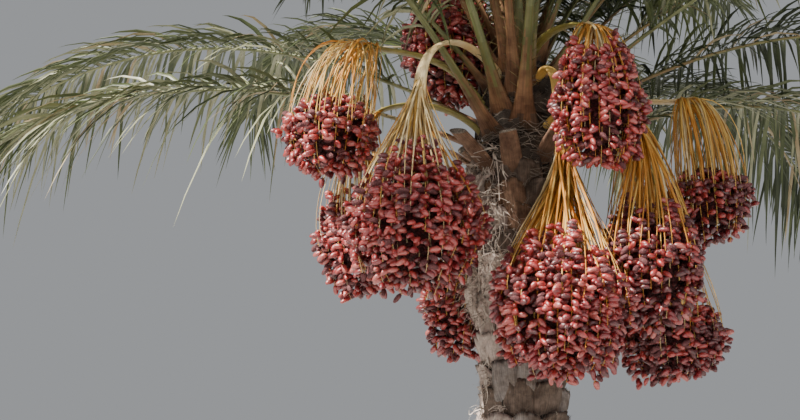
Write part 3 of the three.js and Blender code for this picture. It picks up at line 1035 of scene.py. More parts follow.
@dataclass
class LeafBases:
    """The cut leaf bases that clad the trunk in courses, and the torn ends along their lips.

    proud is how far a base stands out at the foot of the trunk and at its top, and height_spread
    is counted in courses. Bases facing the sun, below a height, are paler: painted sunlight.
    """

    form: TrunkForm
    courses: int = 34
    a_course: int = 8
    twist: float = 5.0
    lip_share: float = 0.82
    proud: Limits = (0.024, 0.058)
    proud_spread: Limits = (0.6, 1.15)
    half_width: float = 0.078
    width_spread: Limits = (0.84, 1.12)
    narrowing: float = 0.12
    height_spread: Limits = (1.3, 1.6)
    side_sag: Limits = (0.012, 0.042)
    relief: float = 0.009
    sunk: float = 0.007
    split_depth: float = 0.012
    split_width: float = 0.09
    split_share: float = 0.45
    cut_drop: float = 0.026
    front_rows: int = 9
    cut_rows: int = 4
    columns: int = 15
    sunlit_azimuth: float = 198.0
    sunlit_top: float = 3.32
    frays_each: int = 16
    fray_rows: int = 5
    fray_length: Limits = (0.012, 0.075)
    fray_half_width: Limits = (0.0007, 0.0024)

    def __post_init__(self) -> None:
        """Work out the course, azimuth, lip height and proudness of every base."""
        self.course = np.repeat(np.arange(self.courses), self.a_course)
        self.number = np.arange(len(self.course))
        column = np.tile(np.arange(self.a_course), self.courses) * 2 + self.course % 2
        azimuth = column * 180 / self.a_course + self.course * self.twist
        self.azimuth = azimuth + scatter(self.number, 12, 4.0)
        lip = (self.course + self.lip_share) * self.form.crown_z / self.courses
        self.lip = lip + scatter(self.number, 11, 0.016)
        proud = mix(*self.proud, (self.course / self.courses) ** 3)
        self.stand = proud * pick(self.proud_spread, self.number, 13)

    def shapes(self) -> Shapes:
        """Make the cut leaf bases.

        Across is a, from -1 to 1, and up is b, from 0 to 1. A base stands out of the core by
        its proudness x b^0.6 x (1 - |a|^3), less or more by crags, and narrows upward. Past its
        lip the cut dips back into the core. Some bases are split by exp(-(a/split_width)^2).

        Returns:
            One sheet for each base.
        """
        number = self.number[:, None, None]
        front, cut = self.front_rows, self.cut_rows
        up = np.concatenate([np.linspace(0, 1, front), np.ones(cut)])[:, None]
        back = np.concatenate([np.zeros(front), np.linspace(0.15, 1, cut)])[:, None]
        across = np.linspace(-1, 1, self.columns)
        rough = crags(3.6 * across, 2.4 * up, number)
        aside = across - 0.6 * np.sin(9.0 * chance(number, 21))
        split = np.exp(-((aside / self.split_width) ** 2)) * up
        body = up**0.6 * (1 - np.abs(across) ** 3) * (1 - back) ** 0.6
        stand = self.stand[:, None, None] * (1 + 0.28 * rough) + self.relief * rough
        offset = stand * body - self.sunk * (1 - body)
        offset = offset - self.split_depth * split * (chance(number, 22) < self.split_share)
        height = self.form.crown_z / self.courses * pick(self.height_spread, number, 15)
        ragged = self.relief * crags(3.1 * across, 0 * up, number + 0.5)
        sag = pick(self.side_sag, number, 18) * np.abs(across) ** 2.2
        lean = scatter(number, 19, 0.014) * across
        top = self.lip[:, None, None] + (ragged + lean) * up - sag
        z = np.clip(top - height * (1 - up) - self.cut_drop * back, 0.0, None)
        width = self.half_width * (1 - self.narrowing * up) * pick(self.width_spread, number, 16)
        turn = np.degrees(across * width / self.form.wrap_radius) + scatter(number, 17, 4.0) * up
        radius = self.form.clad_radius(z) + offset
        points = self.form.beside(self.azimuth[:, None, None] + turn, radius, z)
        shapes = sheets(points, across * width, z + number * 0.37)
        is_cut = np.arange(front + cut - 1) >= front - 1
        return replace(shapes, quad_tones=np.repeat(is_cut.astype(int), self.columns - 1))

    def dressed(self) -> list[tuple[Shapes, tuple[Finish, Finish]]]:
        """Deal the barks to the bases: by chance, warmer near the crown, paler on the sun's side.

        The paler bark on the sun's side is painted sunlight.

        Returns:
            The bases of each bark, with the finishes of their fronts and cuts.
        """
        # Bases that face the sun and sit below a height get the pale bark: painted sunlight
        turned_away = np.radians(self.azimuth - self.sunlit_azimuth)
        sunny = np.cos(turned_away) + scatter(self.number, 24, 0.3)
        painted_sunlit = (sunny > 0.7) & (self.lip < self.sunlit_top)
        tone = 0.84 * chance(self.number, 20) + 0.34 * (self.course / self.courses) ** 9
        tone = np.where(painted_sunlit, BARK_TONES[Bark.BLEACHED][0], tone)
        shapes = self.shapes()
        return [
            (shapes.chosen(in_range(tone, *limits)), (bark.value, Bark.CUT.value))
            for bark, limits in BARK_TONES.items()
        ]

    def frays(self) -> Shapes:
        """Make the torn ends that stand up along the lips and edges of the leaf bases.

        Returns:
            One strap for each torn end.
        """
        base = np.repeat(self.number, self.frays_each)
        number = np.arange(len(base))
        across = scatter(number, 31, 0.95)
        part = np.linspace(0, 1, self.fray_rows)
        length = pick(self.fray_length, number, 32, 3)[:, None]
        out = self.stand[base] * (1 - np.abs(across) ** 3) * pick((0.3, 1.0), number, 33)
        top_width = self.half_width * (1 - self.narrowing)
        turn = np.degrees(across * top_width / self.form.wrap_radius)
        z = self.lip[base] - 0.028 * np.abs(across) ** 2.2 - 0.014
        curl = scatter(number, 34, 1.0)[:, None] * part**2
        radius = (self.form.clad_radius(z) + out)[:, None]
        radius = radius + length * (scatter(number, 35, 0.5)[:, None] * part + 0.2 * part)
        swing = np.degrees(curl * length / 0.17) + (self.azimuth[base] + turn)[:, None]
        line = self.form.beside(swing, radius, z[:, None] + length * (part - 0.35 * part**2))
        aside = outward(swing + 90 + scatter(number, 36, 60.0)[:, None])
        width = pick(self.fray_half_width, number, 37)[:, None] * (1 - 0.7 * part)
        return straps(line, unit(aside), width)


@dataclass(frozen=True)
class Stubs:
    """The cut stubs of old fronds round the foot of the crown."""

    form: TrunkForm
    azimuths: tuple[float, ...] = (-174, -143, -104, -51, -22, 24, 53, 82, 113, 141)
    z: float = 3.39
    z_spread: float = 0.06
    length: float = 0.24
    length_spread: float = 0.07
    rise: float = 46.0
    rise_spread: float = 7.0
    twist_spread: float = 8.0
    sunk: float = 0.04
    half_width: float = 0.05
    half_depth: float = 0.017
    end_share: float = 0.72
    arch: float = 0.012
    cut_from: float = 0.965
    columns: int = 16

    def frames(self) -> tuple[Array, Array, Array, Array, Array]:
        """Give the start, direction, side, face and length of each stub.

        Returns:
            Four arrays, (stubs, 3), and the lengths, (stubs,).
        """
        number = np.arange(len(self.azimuths))
        azimuth = np.array(self.azimuths)
        rise = np.radians(self.rise + vary(number, 6, self.rise_spread))
        along = outward(azimuth) * np.cos(rise)[:, None] + UP * np.sin(rise)[:, None]
        side = outward(azimuth + 90)
        face = unit(np.cross(along, side))
        twist = vary(number, 7, self.twist_spread)
        side, face = turned(side, along, twist), turned(face, along, twist)
        z = self.z + vary(number, 8, self.z_spread)
        start = self.form.beside(azimuth, self.form.radius(z) - self.sunk, z)
        return start, along, side, face, self.length + vary(number, 9, self.length_spread)

    def shapes(self) -> Shapes:
        """Make the stubs: a shallow keeled section that narrows, cut aslant to a pale end.

        Returns:
            One closed shape for each stub.
        """
        start, along, side, face, length = self.frames()
        part = np.concatenate([np.linspace(0, 0.93, 9), [self.cut_from, 0.99, 1.0]])
        line = start[:, None] + along[:, None] * (length[:, None] * part)[..., None]
        line = line + face[:, None] * (self.arch * np.sin(np.pi * part))[:, None]
        number = np.arange(len(start))
        rounded = np.where(part > 0.995, 0.86, 1.0)
        ragged = 1 + 0.07 * crags(6 * part, 0, number[:, None])
        size = mix(1.0, self.end_share, part) * rounded * ragged
        late = np.clip(part * 2 - 1, 0, 1)
        aslant = along[:, None] * (scatter(number, 26, 0.75)[:, None] * late)[..., None]
        back = along[:, None] * (scatter(number, 27, 0.9)[:, None] * late)[..., None]
        wide, deep = self.half_width * size, self.half_depth * 1.2 * size
        side, face = side[:, None] + aslant, face[:, None] + back
        shapes = tube(line, side, face, wide, deep, self.columns, flat=0.5)
        is_cut = (part[:-1] >= self.cut_from).astype(int)
        return shapes.toned(np.repeat(is_cut, self.columns), 0, 1)


@dataclass(frozen=True)
class Tufts:
    """The tufts of curled fibre that spill from the gaps, mostly on one side and high up."""

    form: TrunkForm
    count: int = 86
    fibres: int = 18
    rows: int = 8
    high_share: float = 0.9
    high_z: Limits = (2.82, 3.52)
    low_z: Limits = (0.5, 3.35)
    side_share: float = 0.66
    side_azimuth: float = 196.0
    side_spread: float = 42.0
    length: Limits = (0.04, 0.16)
    low_length: float = 0.45
    droop: float = 0.5
    winding: Limits = (2.0, 7.5)
    curl: Limits = (0.004, 0.02)
    half_width: Limits = (0.0010, 0.0060)

    def shapes(self) -> Shapes:
        """Make the tufts.

        A fibre runs from its tuft along its own direction by t, curls with radius c by
        (cos wt, sin wt), and sinks by t^2.

        Returns:
            One strap for each fibre.
        """
        tuft = np.repeat(np.arange(self.count), self.fibres)
        number = np.arange(len(tuft))
        high = chance(tuft, 41) < self.high_share
        z = np.where(high, pick(self.high_z, tuft, 42), pick(self.low_z, tuft, 43, 0.6))
        z = z + scatter(number, 48, 0.016)
        near = self.side_azimuth + scatter(tuft, 45, self.side_spread)
        azimuth = np.where(chance(tuft, 44) < self.side_share, near, chance(tuft, 46) * 360)
        azimuth = azimuth + scatter(number, 47, 4.0)
        root = self.form.beside(azimuth, self.form.radius(z) + pick((0.0, 0.03), number, 49), z)
        out, aside = outward(azimuth), outward(azimuth + 90)
        aim = out * pick((0.1, 0.9), number, 50)[:, None] + aside * scatter(number, 51, 0.9)[:, None]
        aim = unit(aim + UP * scatter(number, 52, 1.0)[:, None])
        first = unit(np.cross(aim, UP) + 0.01)
        second = np.cross(aim, first)
        part = np.linspace(0, 1, self.rows)
        length = (pick(self.length, number, 53) * np.where(high, 1.0, self.low_length))[:, None]
        hand = np.sign(scatter(number, 55, 1.0))
        wind = (pick(self.winding, number, 54) * hand)[:, None] * part
        curl = pick(self.curl, number, 56)[:, None]
        line = root[:, None] + aim[:, None] * (length * part)[..., None]
        line = line + first[:, None] * (curl * np.sin(wind))[..., None]
        line = line + second[:, None] * (curl * (1 - np.cos(wind)))[..., None]
        line = line - UP * (length * self.droop * part**2)[..., None]
        width = pick(self.half_width, number, 57, 2)[:, None] * (1 - 0.6 * part)
        return straps(line, unit(np.cross(slope(line), out[:, None] + 0.3 * UP)), width)


@dataclass(frozen=True)
class Threads:
    """The long threads that wrap the foot of the crown."""

    form: TrunkForm
    count: int = 260
    rows: int = 26
    z: Limits = (3.30, 3.86)
    span: Limits = (25, 120)
    climb: float = 0.09
    wander: float = 0.012
    waves: Limits = (5, 14)
    sag: float = 0.02
    lift: Limits = (0.002, 0.02)
    half_width: Limits = (0.0006, 0.0022)

    def shapes(self) -> Shapes:
        """Make the threads: level arcs that wander and sag.

        Returns:
            One strap for each thread.
        """
        number = np.arange(self.count)
        part = np.linspace(0, 1, self.rows)
        span = pick(self.span, number, 63)[:, None] * part
        azimuth = chance(number, 62)[:, None] * 360 + span
        climb = scatter(number, 64, self.climb)[:, None] * part
        waves = part * pick(self.waves, number, 65)[:, None] + number[:, None]
        height = pick(self.z, number, 61)[:, None] + climb + self.wander * np.sin(waves)
        height = height - self.sag * np.sin(np.pi * part)
        lift = pick(self.lift, number, 66)[:, None] + 0.01 * np.sin(np.pi * part)
        line = self.form.beside(azimuth, self.form.radius(height) + lift, height)
        width = pick(self.half_width, number, 67)[:, None] * (1 - 0.4 * part)
        return straps(line, UP + 0.4 * outward(azimuth), width)


@dataclass(frozen=True)
class Sheaths:
    """The torn netting between the feet of the fronds."""

    form: TrunkForm
    count: int = 22
    rows: int = 9
    columns: int = 21
    above_crown: Limits = (-0.16, 0.26)
    height: Limits = (0.11, 0.24)
    half_span: Limits = (20, 38)
    half_width: float = 0.09
    lean: Limits = (0.008, 0.045)
    ripple: float = 0.005

    def shapes(self) -> Shapes:
        """Make the netting.

        A sheet spans an arc of the trunk and leans out as it rises, by lean b^2. Its upper edge
        is torn: its height is less by crags along the arc.

        Returns:
            One sheet each.
        """
        number = np.arange(self.count)[:, None, None]
        up = np.linspace(0, 1, self.rows)[:, None]
        across = np.linspace(-1, 1, self.columns)
        foot = self.form.crown_z + pick(self.above_crown, number, 71)
        torn = 0.5 + 0.28 * crags(2.6 * across, 0 * up, number)
        torn = torn + 0.12 * crags(9 * across, 0 * up, number)
        height = pick(self.height, number, 72) * torn * (1 - 0.3 * across**2)
        z = foot + height * up
        azimuth = number * GOLDEN_ANGLE + pick(self.half_span, number, 73) * across
        lean = pick(self.lean, number, 74) * up**2
        ripple = self.ripple * crags(3 * across, 3 * up, number + 7)
        points = self.form.beside(azimuth, self.form.radius(foot) + 0.004 + lean + ripple, z)
        return sheets(points, across * self.half_width, z)


@dataclass(frozen=True)
class Mats:
    """The crumpled mats of fibre that hang over the bases, mostly on one side."""

    form: TrunkForm
    count: int = 48
    rows: int = 13
    columns: int = 13
    side_share: float = 0.8
    side_azimuth: float = 190.0
    side_spread: float = 30.0
    side_top: Limits = (2.88, 3.50)
    other_top: Limits = (0.7, 3.45)
    drop: Limits = (0.07, 0.17)
    half_width: Limits = (0.026, 0.056)
    stand: Limits = (0.022, 0.05)
    belly: float = 0.02
    crumple: float = 0.016

    def shapes(self) -> Shapes:
        """Make the mats.

        A mat hangs from its upper edge, stands off the trunk by belly sin(pi b) down it, is
        crumpled by crags, and its edges are torn.

        Returns:
            One sheet each.
        """
        number = np.arange(self.count)[:, None, None]
        down = np.linspace(0, 1, self.rows)[:, None]
        across = np.linspace(-1, 1, self.columns)
        side = chance(number, 121) < self.side_share
        near = self.side_azimuth + scatter(number, 122, self.side_spread)
        azimuth = np.where(side, near, chance(number, 123) * 360)
        top = np.where(side, pick(self.side_top, number, 124), pick(self.other_top, number, 124))
        torn = 0.75 + 0.35 * crags(3.0 * across, 0 * down, number)
        drop = pick(self.drop, number, 125) * torn
        edge = 1 + 0.35 * crags(0 * across, 4.0 * down, number + 3)
        width = pick(self.half_width, number, 126) * edge * (1 - 0.45 * down)
        z = top - drop * down + 0.012 * crags(2.5 * across, 2.5 * down, number + 6)
        azimuth = azimuth + np.degrees(across * width / 0.19)
        azimuth = azimuth + 4.0 * crags(2.2 * across, 2.2 * down, number + 8)
        crumple = self.crumple * crags(3.4 * across, 3.4 * down, number + 5)
        stand = pick(self.stand, number, 127) + self.belly * np.sin(np.pi * down) + crumple
        points = self.form.beside(azimuth, self.form.clad_radius(z) + stand, z)
        return sheets(points, across * width, z)


@dataclass(frozen=True)
class Roots:
    """The short roots that crust the foot of the trunk."""

    form: TrunkForm
    count: int = 520
    rows: int = 5
    columns: int = 5
    lowest: float = 0.004
    foot_z: float = 0.015
    z_span: float = 0.24
    bulge: float = 0.016
    radius: Limits = (0.003, 0.0065)

    def shapes(self) -> Shapes:
        """Make the roots: cones that lean out and end at the ground.

        Returns:
            One closed shape for each root.
        """
        number = np.arange(self.count)
        azimuth = number * GOLDEN_ANGLE + scatter(number, 81, 9.0)
        z = self.foot_z + self.z_span * chance(number, 82) ** 1.6
        part = np.linspace(0, 1, self.rows)
        height = np.clip(z[:, None] * (1 - part) + self.lowest, self.lowest, None)
        bulge = self.bulge * np.sin(np.pi * part * 0.6) * chance(number, 83)[:, None]
        reach = np.minimum(self.form.radius(z)[:, None], self.form.radius(height)) + (0.004 + bulge)
        turn = azimuth[:, None] + scatter(number, 84, 9.0)[:, None] * part
        line = self.form.beside(turn, reach, height)
        side = outward(azimuth + 90)[:, None] + 0 * line
        face = outward(azimuth)[:, None] + 0 * line
        size = pick(self.radius, number, 85)[:, None] * (1 - 0.6 * part)
        return tube(line, side, face, size, size * 0.8, self.columns)


@dataclass(frozen=True)
class Trunk:
    """The clad trunk: its core, leaf bases, stubs, fibre and roots."""

    form: TrunkForm

    def build(self) -> None:
        """Make the trunk's pieces."""
        form = self.form
        bases = LeafBases(form)
        pieces = {
            "trunk_core": [(TrunkCore(form).shapes(), Bark.SHADE.value)],
            "trunk_leaf_bases": bases.dressed(),
            "trunk_frays": [(bases.frays(), Bark.STRAND.value)],
            "trunk_stubs": [(Stubs(form).shapes(), (Bark.WARM.value, Bark.CUT.value))],
            "trunk_tufts": [(Tufts(form).shapes(), Bark.FIBRE.value)],
            "trunk_threads": [(Threads(form).shapes(), Bark.STRAND.value)],
            "trunk_sheaths": [(Sheaths(form).shapes(), Bark.SHEATH.value)],
            "trunk_mats": [(Mats(form).shapes(), Bark.MAT.value)],
            "trunk_roots": [(Roots(form).shapes(), Bark.BROWN.value)],
        }
        for name, parts in pieces.items():
            add_piece(name, parts, ["trunk"])


# The bunches


@dataclass(frozen=True)
class Straws:
    """How the strands of a bunch look.

    cream and yellow are their shares, and the rest are orange. breadth scales their width and
    that of the stalk's end, bell is how far they spread before they fall, arc how far they run
    on past the stalk and up, bare how much of them stays bare inside the fruit, early how far
    over the fruit they bear dates, leave where on the stalk the first ones leave it, dense how
    many there are, and over how wide of the fruit's shoulder they pass.
    """

    cream: float = 0.25
    yellow: float = 0.45
    breadth: float = 1.0
    bell: float = 0.12
    arc: tuple[float, float] = (0.32, 0.0)
    bare: float = 0.2
    early: float = 0.12
    leave: float = 0.84
    dense: float = 1.0
    over: Limits = (1.02, 1.34)


USUAL = Straws()
BAND = Straws(cream=0.6, yellow=0.35, breadth=1.15, bell=0.10, bare=0.35, leave=0.88)
STRAPS = Straws(cream=0.06, yellow=0.34, breadth=1.45, bell=0.10, bare=0.5, leave=0.93)
TEAR = Straws(
    cream=0.15, breadth=1.1, bell=0.20, arc=(0.2, 0.1), early=0.42, leave=0.9, dense=1.3,
    over=(0.9, 1.2),
)
BELL = Straws(
    cream=0.12, breadth=1.05, bell=0.32, arc=(0.14, 0.14), bare=0.3, early=0.0, leave=0.95,
    dense=2.3, over=(0.8, 1.12),
)
FOUNTAIN = Straws(
    breadth=0.9, bell=0.34, arc=(0.16, 0.18), bare=0.3, early=0.0, leave=0.88, dense=1.5,
    over=(0.95, 1.26),
)

STRAND_COLOURS = (Straw.CREAM, Straw.YELLOW, Straw.ORANGE)


@dataclass(frozen=True)
class Bunch:
    """One bunch: the place and half sizes of its fruit, the run of its stalk, and its straws.

    fruit and end are a direction in degrees, a distance and a height. arch is how far the stalk
    rises over its ends, and hang how much its end points down, from 0, level, to 1. Over 1, the
    last number makes more of the dates dark: painted shade on the bunches that hang in shadow.
    """

    fruit: tuple[float, float, float]
    half: tuple[float, float]
    end: tuple[float, float, float]
    exit: float
    arch: float
    hang: float
    straws: Straws = USUAL
    painted_shade: float = 1.0

    def middle(self, form: TrunkForm) -> Array:
        """Give the middle of the fruit."""
        return form.beside(*self.fruit)

    def skin_area(self) -> float:
        """Give the area of the fruit's skin: 2 pi wide (wide + high), in half sizes."""
        wide, high = self.half
        return 4 * np.pi * wide * (wide + high) / 2

    def stalk_corners(self, form: TrunkForm) -> Array:
        """Give the four corners of the stalk's curve: out of the heart, over its arch and down.

        Args:
            form: The trunk's line and width.

        Returns:
            The corners, (4, 3).
        """
        azimuth, distance, z = self.end
        top = max(z, self.exit) + self.arch
        radius = form.radius(self.exit)
        bend = distance * (1 - 0.45 * (1 - self.hang))
        return np.stack(
            [
                form.beside(azimuth, radius - 0.02, self.exit),
                form.beside(azimuth, radius + distance * 0.2, top),
                form.beside(azimuth, bend, mix(z, top, self.hang)),
                form.beside(azimuth, distance, z),
            ]
        )


# The last number, where given, darkens a bunch's dates: painted shade for bunches in shadow
BUNCHES = (
    Bunch((-156, 0.840, 3.515), (0.185, 0.190), (-156, 0.745, 3.880), 3.640, 0.030, 0.1, FOUNTAIN),
    Bunch((-130, 0.690, 3.100), (0.240, 0.265), (-131, 0.640, 3.600), 3.800, 0.150, 1.0, BAND),
    Bunch((186, 0.650, 3.135), (0.183, 0.230), (186, 0.600, 3.665), 3.560, 0.090, 0.7, BAND),
    Bunch((158, 0.310, 4.015), (0.190, 0.250), (158, 0.280, 4.430), 4.000, 0.090, 0.8),
    Bunch((-64, 0.610, 3.545), (0.175, 0.240), (-63, 0.570, 3.890), 3.900, 0.110, 0.5, TEAR, 1.1),
    Bunch((-79, 0.520, 2.795), (0.255, 0.280), (-60, 0.315, 3.370), 3.760, 0.120, 1.0, STRAPS),
    Bunch((-39, 0.620, 2.975), (0.183, 0.265), (-40, 0.590, 3.520), 3.600, 0.130, 0.8, STRAPS, 1.8),
    Bunch((-7, 0.775, 3.300), (0.160, 0.185), (-8, 0.705, 3.710), 3.640, 0.060, 0.0, BELL, 2.1),
    Bunch((10, 0.630, 2.770), (0.215, 0.185), (10, 0.580, 3.330), 3.520, 0.110, 1.0, USUAL, 2.4),
    Bunch((128, 0.400, 2.905), (0.145, 0.200), (128, 0.330, 3.330), 3.530, 0.120, 1.0),
    Bunch((98, 0.690, 3.120), (0.200, 0.250), (98, 0.590, 3.600), 3.700, 0.150, 0.9, BAND),
    Bunch((66, 0.570, 2.920), (0.205, 0.240), (66, 0.470, 3.400), 3.560, 0.120, 1.0, STRAPS),
    Bunch((38, 0.720, 3.200), (0.180, 0.215), (38, 0.620, 3.640), 3.700, 0.110, 0.5),
)


@dataclass(frozen=True)
class Date:
    """The size of a date, its rings as shares of its length and radius, and the points round it."""

    part: tuple[float, ...]
    size: tuple[float, ...]
    columns: int
    half_length: float = 0.0218
    radius: float = 0.0113
    spread: Limits = (0.82, 1.12)
    round_spread: Limits = (0.84, 1.12)
    flats: float = 0.09
    bow: Limits = (0.001, 0.005)
    stem: float = 0.002

    def shapes(self, root: Array, aim: Array, lot: Array) -> Shapes:
        """Make dates: blunt and long, bowed by sin(pi s), with three soft flats.

        Args:
            root: Where each date meets its strand.
            aim: The unit direction of each date.
            lot: The lot number that its size and shape vary by.

        Returns:
            One closed shape for each date.
        """
        across, face = square_pair(aim)
        length = self.half_length * 2 * pick(self.spread, lot, 71)
        radius = self.radius * pick(self.round_spread, lot, 72)
        part, profile = np.array(self.part), np.array(self.size)
        angle = ring_angles(self.columns)
        flats = self.flats * np.cos(3 * angle + lot[:, None, None])
        flats = 1 + flats * chance(lot, 73)[:, None, None]
        size = radius[:, None, None] * profile[:, None] * flats
        bow = (pick(self.bow, lot, 75)[:, None] * np.sin(np.pi * part))[:, :, None, None] * UP
        along = (length[:, None] * part + self.stem)[:, :, None, None] * aim[:, None, None]
        ring = across[:, None, None] * (size * np.cos(angle))[..., None]
        ring = ring + face[:, None, None] * (size * np.sin(angle))[..., None]
        points = (root[:, None, None] + along + bow + ring).reshape(len(root), -1, 3)
        reach = np.stack([0 * length, length], axis=1) + self.stem
        points = np.concatenate([points, root[:, None] + aim[:, None] * reach[..., None]], axis=1)
        faces = closed_faces(len(part), self.columns)
        return Shapes(points, np.zeros(points.shape[:2] + (2,)), *faces)


WHOLE_DATE = Date((0.06, 0.28, 0.68, 0.935), (0.60, 1.0, 0.98, 0.56), 6)
INNER_DATE = Date((0.16, 0.80), (0.86, 0.82), 5)


def square_pair(aim: Array) -> tuple[Array, Array]:
    """Give two unit directions that are square to each unit direction and to each other."""
    across = unit(np.cross(aim, np.roll(aim, 1, axis=1) + np.array([0.2, 0.5, 0.1])))
    return across, np.cross(aim, across)


def slimming(height: Array) -> Array:
    """Give the share of its width that a bunch keeps at heights, in half heights: 1 - 0.22 h."""
    return 1 - 0.22 * np.clip(height, 0, 1)


@dataclass
class Cluster:
    """One bunch laid out: its stalk, the strands that fan out of it, and the dates.

    key is the bunch's own number. Depths and shares are counted from the fruit's middle, 0, to
    its skin, 1, and an area is the skin that one strand or date has to itself. The lots are the
    first number of the first bunch's things and the step from one bunch to the next.
    """

    form: TrunkForm
    bunch: Bunch
    key: int
    stalk_half_width: float = 0.022
    stalk_half_depth: float = 0.010
    stalk_rows: int = 44
    stalk_columns: int = 12
    strand_area: float = 0.0094
    strand_half_width: Limits = (0.0060, 0.0015)
    strand_half_depth: Limits = (0.0019, 0.0012)
    strand_rows: int = 13
    strand_columns: int = 4
    inner_share: float = 0.26
    inner_depth: Limits = (0.70, 0.86)
    outer_depth: Limits = (0.88, 1.03)
    date_spacing: float = 0.0185
    least_dates: int = 3
    most_dates: int = 40
    clear_share: float = 0.70
    gap: float = 0.0290
    gap_area: float = 0.00070
    gap_depth: Limits = (0.78, 0.92)
    gap_height: float = 0.5
    under_area: float = 0.00140
    under_depth: Limits = (0.60, 0.70)
    core_share: float = 0.58
    core_rows: int = 15
    core_columns: int = 24
    lump: float = 0.13
    cap_radius: float = 0.0062
    cap_depth: float = 0.0058
    cap_columns: int = 4
    strand_lots: tuple[int, int] = (0, 137)
    gap_lots: tuple[int, int] = (9000, 1571)
    under_lots: tuple[int, int] = (30000, 811)

    def __post_init__(self) -> None:
        """Work out the fruit's middle, the stalk, the strands' curves and the dates' places."""
        self.middle = self.bunch.middle(self.form)
        self.stalk_line = self.bunch.stalk_corners(self.form)
        self.corners = self.strand_corners()
        self.strand = self.lots(self.strand_lots, len(self.corners))
        self.root, self.lot = self.date_places()
        self.aim = self.date_aims(self.root, self.lot)

    def lots(self, first_and_step: tuple[int, int], count: int) -> Array:
        """Number like things of this bunch apart from those of the others."""
        first, step = first_and_step
        return first + step * self.key + np.arange(count)

    def stalk(self) -> Shapes:
        """Make the stalk: a flat oval that widens to its end, along the bunch's curve.

        Returns:
            One closed shape.
        """
        part = np.linspace(0, 1, self.stalk_rows)
        line = bezier(self.stalk_line, part)[None]
        side = np.broadcast_to(outward(self.bunch.end[0] + 90.0), line.shape)
        face = unit(np.cross(slope(line), side))
        broad = mix(1.0, 1.35 * self.bunch.straws.breadth, part**2)
        wide = self.stalk_half_width * broad * (1 + 0.04 * np.sin(29 * part))
        deep = self.stalk_half_depth * mix(1.3, 0.7, part)
        return tube(line, side, face, wide[None], deep[None], self.stalk_columns)

    def lumps(self, azimuth: Array, height: Array) -> Array:
        """Tell how far the bunch swells or sinks, 1 + lump x crags, at azimuths and heights.

        Args:
            azimuth: Directions in degrees.
            height: Heights in half heights.

        Returns:
            The factor at each.
        """
        angle = np.radians(azimuth)
        across = 1.5 * np.cos(angle) + self.key
        up = 1.5 * np.sin(angle) + 1.3 * height
        return 1 + self.lump * crags(across, up, self.key + 0.5)

    def within(self, points: Array) -> tuple[Array, Array]:
        """Tell how far out points are, 1 on the fruit's surface, and their height.

        The fruit is an oval ball that narrows upward.

        Args:
            points: The points, (..., 3).

        Returns:
            How far out each point is, and its height in half heights.
        """
        wide, high = self.bunch.half
        offset = points - self.middle
        height = offset[..., 2] / high
        level = np.hypot(offset[..., 0], offset[..., 1]) / (wide * slimming(height))
        return np.hypot(level, height), height

    def sunk(self, points: Array) -> Array:
        """Tell how far out points are, 1 on the bunch's lumpy skin.

        Args:
            points: The points, (..., 3).

        Returns:
            How far out each point is.
        """
        far, height = self.within(points)
        offset = points - self.middle
        azimuth = np.degrees(np.arctan2(offset[..., 1], offset[..., 0]))
        return far / self.lumps(azimuth, np.clip(height, -1, 0.8))

    def core(self) -> Shapes:
        """Make the dark middle of the bunch: its oval at core_share of its size, roughened.

        Its near-black red is painted shade for the depths that show between the dates.

        Returns:
            One closed shape.
        """
        rise = np.pi * (np.arange(self.core_rows) + 0.5) / self.core_rows
        angle = ring_angles(self.core_columns)
        height = -np.cos(rise)[:, None]
        wide, high = np.array(self.bunch.half) * self.core_share
        rough = crags(3 * np.cos(angle), 3 * height + 2 * np.sin(angle), self.key + 0.5)
        level = wide * np.sin(rise)[:, None] * slimming(height) * (1 + 0.07 * rough)
        points = outward(np.degrees(angle)) * level[..., None] + UP * (high * height)[..., None]
        ends = UP * (high * np.array([-1.0, 1.0]))[:, None]
        points = self.middle + np.concatenate([points.reshape(-1, 3), ends])
        faces = closed_faces(self.core_rows, self.core_columns)
        return Shapes(points[None], np.zeros((1, len(points), 2)), *faces)

    def strand_corners(self) -> Array:
        """Give the curves of the strands.

        A strand leaves the end of the stalk along its direction, passes over the shoulder of the
        fruit and hangs to its own place low in the fruit. The places are even over a ball. Most
        strands bulge out to its skin on their way, and the others keep inside it.

        Returns:
            Four corners for each strand, (strands, 4, 3).
        """
        wide, high = self.bunch.half
        straws = self.bunch.straws
        count = int(round(self.bunch.skin_area() / self.strand_area * straws.dense))
        number = np.arange(count)
        lot = self.lots(self.strand_lots, count)
        leave = mix(straws.leave, 1.0, chance(lot, 41))
        start = bezier(self.stalk_line, leave)
        ahead = bezier(self.stalk_line, leave + 0.01) - bezier(self.stalk_line, leave - 0.01)
        across = outward(self.bunch.end[0] + 90.0)
        broad = self.stalk_half_width * straws.breadth
        start = start + across * (scatter(lot, 42, 1.1) * broad)[:, None]
        low = 1 - (number + 0.5) / count * 2
        low = np.where(low > 0.1, -chance(lot, 43), low)
        ring = np.sqrt(1 - low**2)
        azimuth = number * GOLDEN_ANGLE + self.key * 57
        swell = self.lumps(azimuth, low)
        inner = chance(lot, 45) < self.inner_share
        depth = np.where(inner, pick(self.inner_depth, lot, 44), pick(self.outer_depth, lot, 46))
        depth = depth * swell
        out = outward(azimuth)
        longer = 1 + 0.16 * chance(lot, 55) ** 3
        level = out * (wide * ring**0.8 * depth)[:, None]
        hang = self.middle + level + UP * (high * low * depth * longer)[:, None]
        kept = pick((0.8, 0.98), lot, 47) * np.maximum(ring, 0.45) * depth
        over = np.where(inner, kept, pick(straws.over, lot, 47) * swell)
        rise = np.where(inner, pick((0.7, 1.0), lot, 48), pick((0.05, 0.6), lot, 48))
        shoulder = self.middle + out * (wide * over)[:, None] + UP * (high * rise)[:, None]
        reach = np.linalg.norm(start - shoulder, axis=-1)[:, None]
        spread = straws.bell * pick((0.6, 1.3), lot, 49)[:, None]
        run, climb = straws.arc
        leaving = start + reach * (unit(ahead) * run + UP * climb + out * spread)
        return np.stack([start, leaving, shoulder, hang], axis=1)

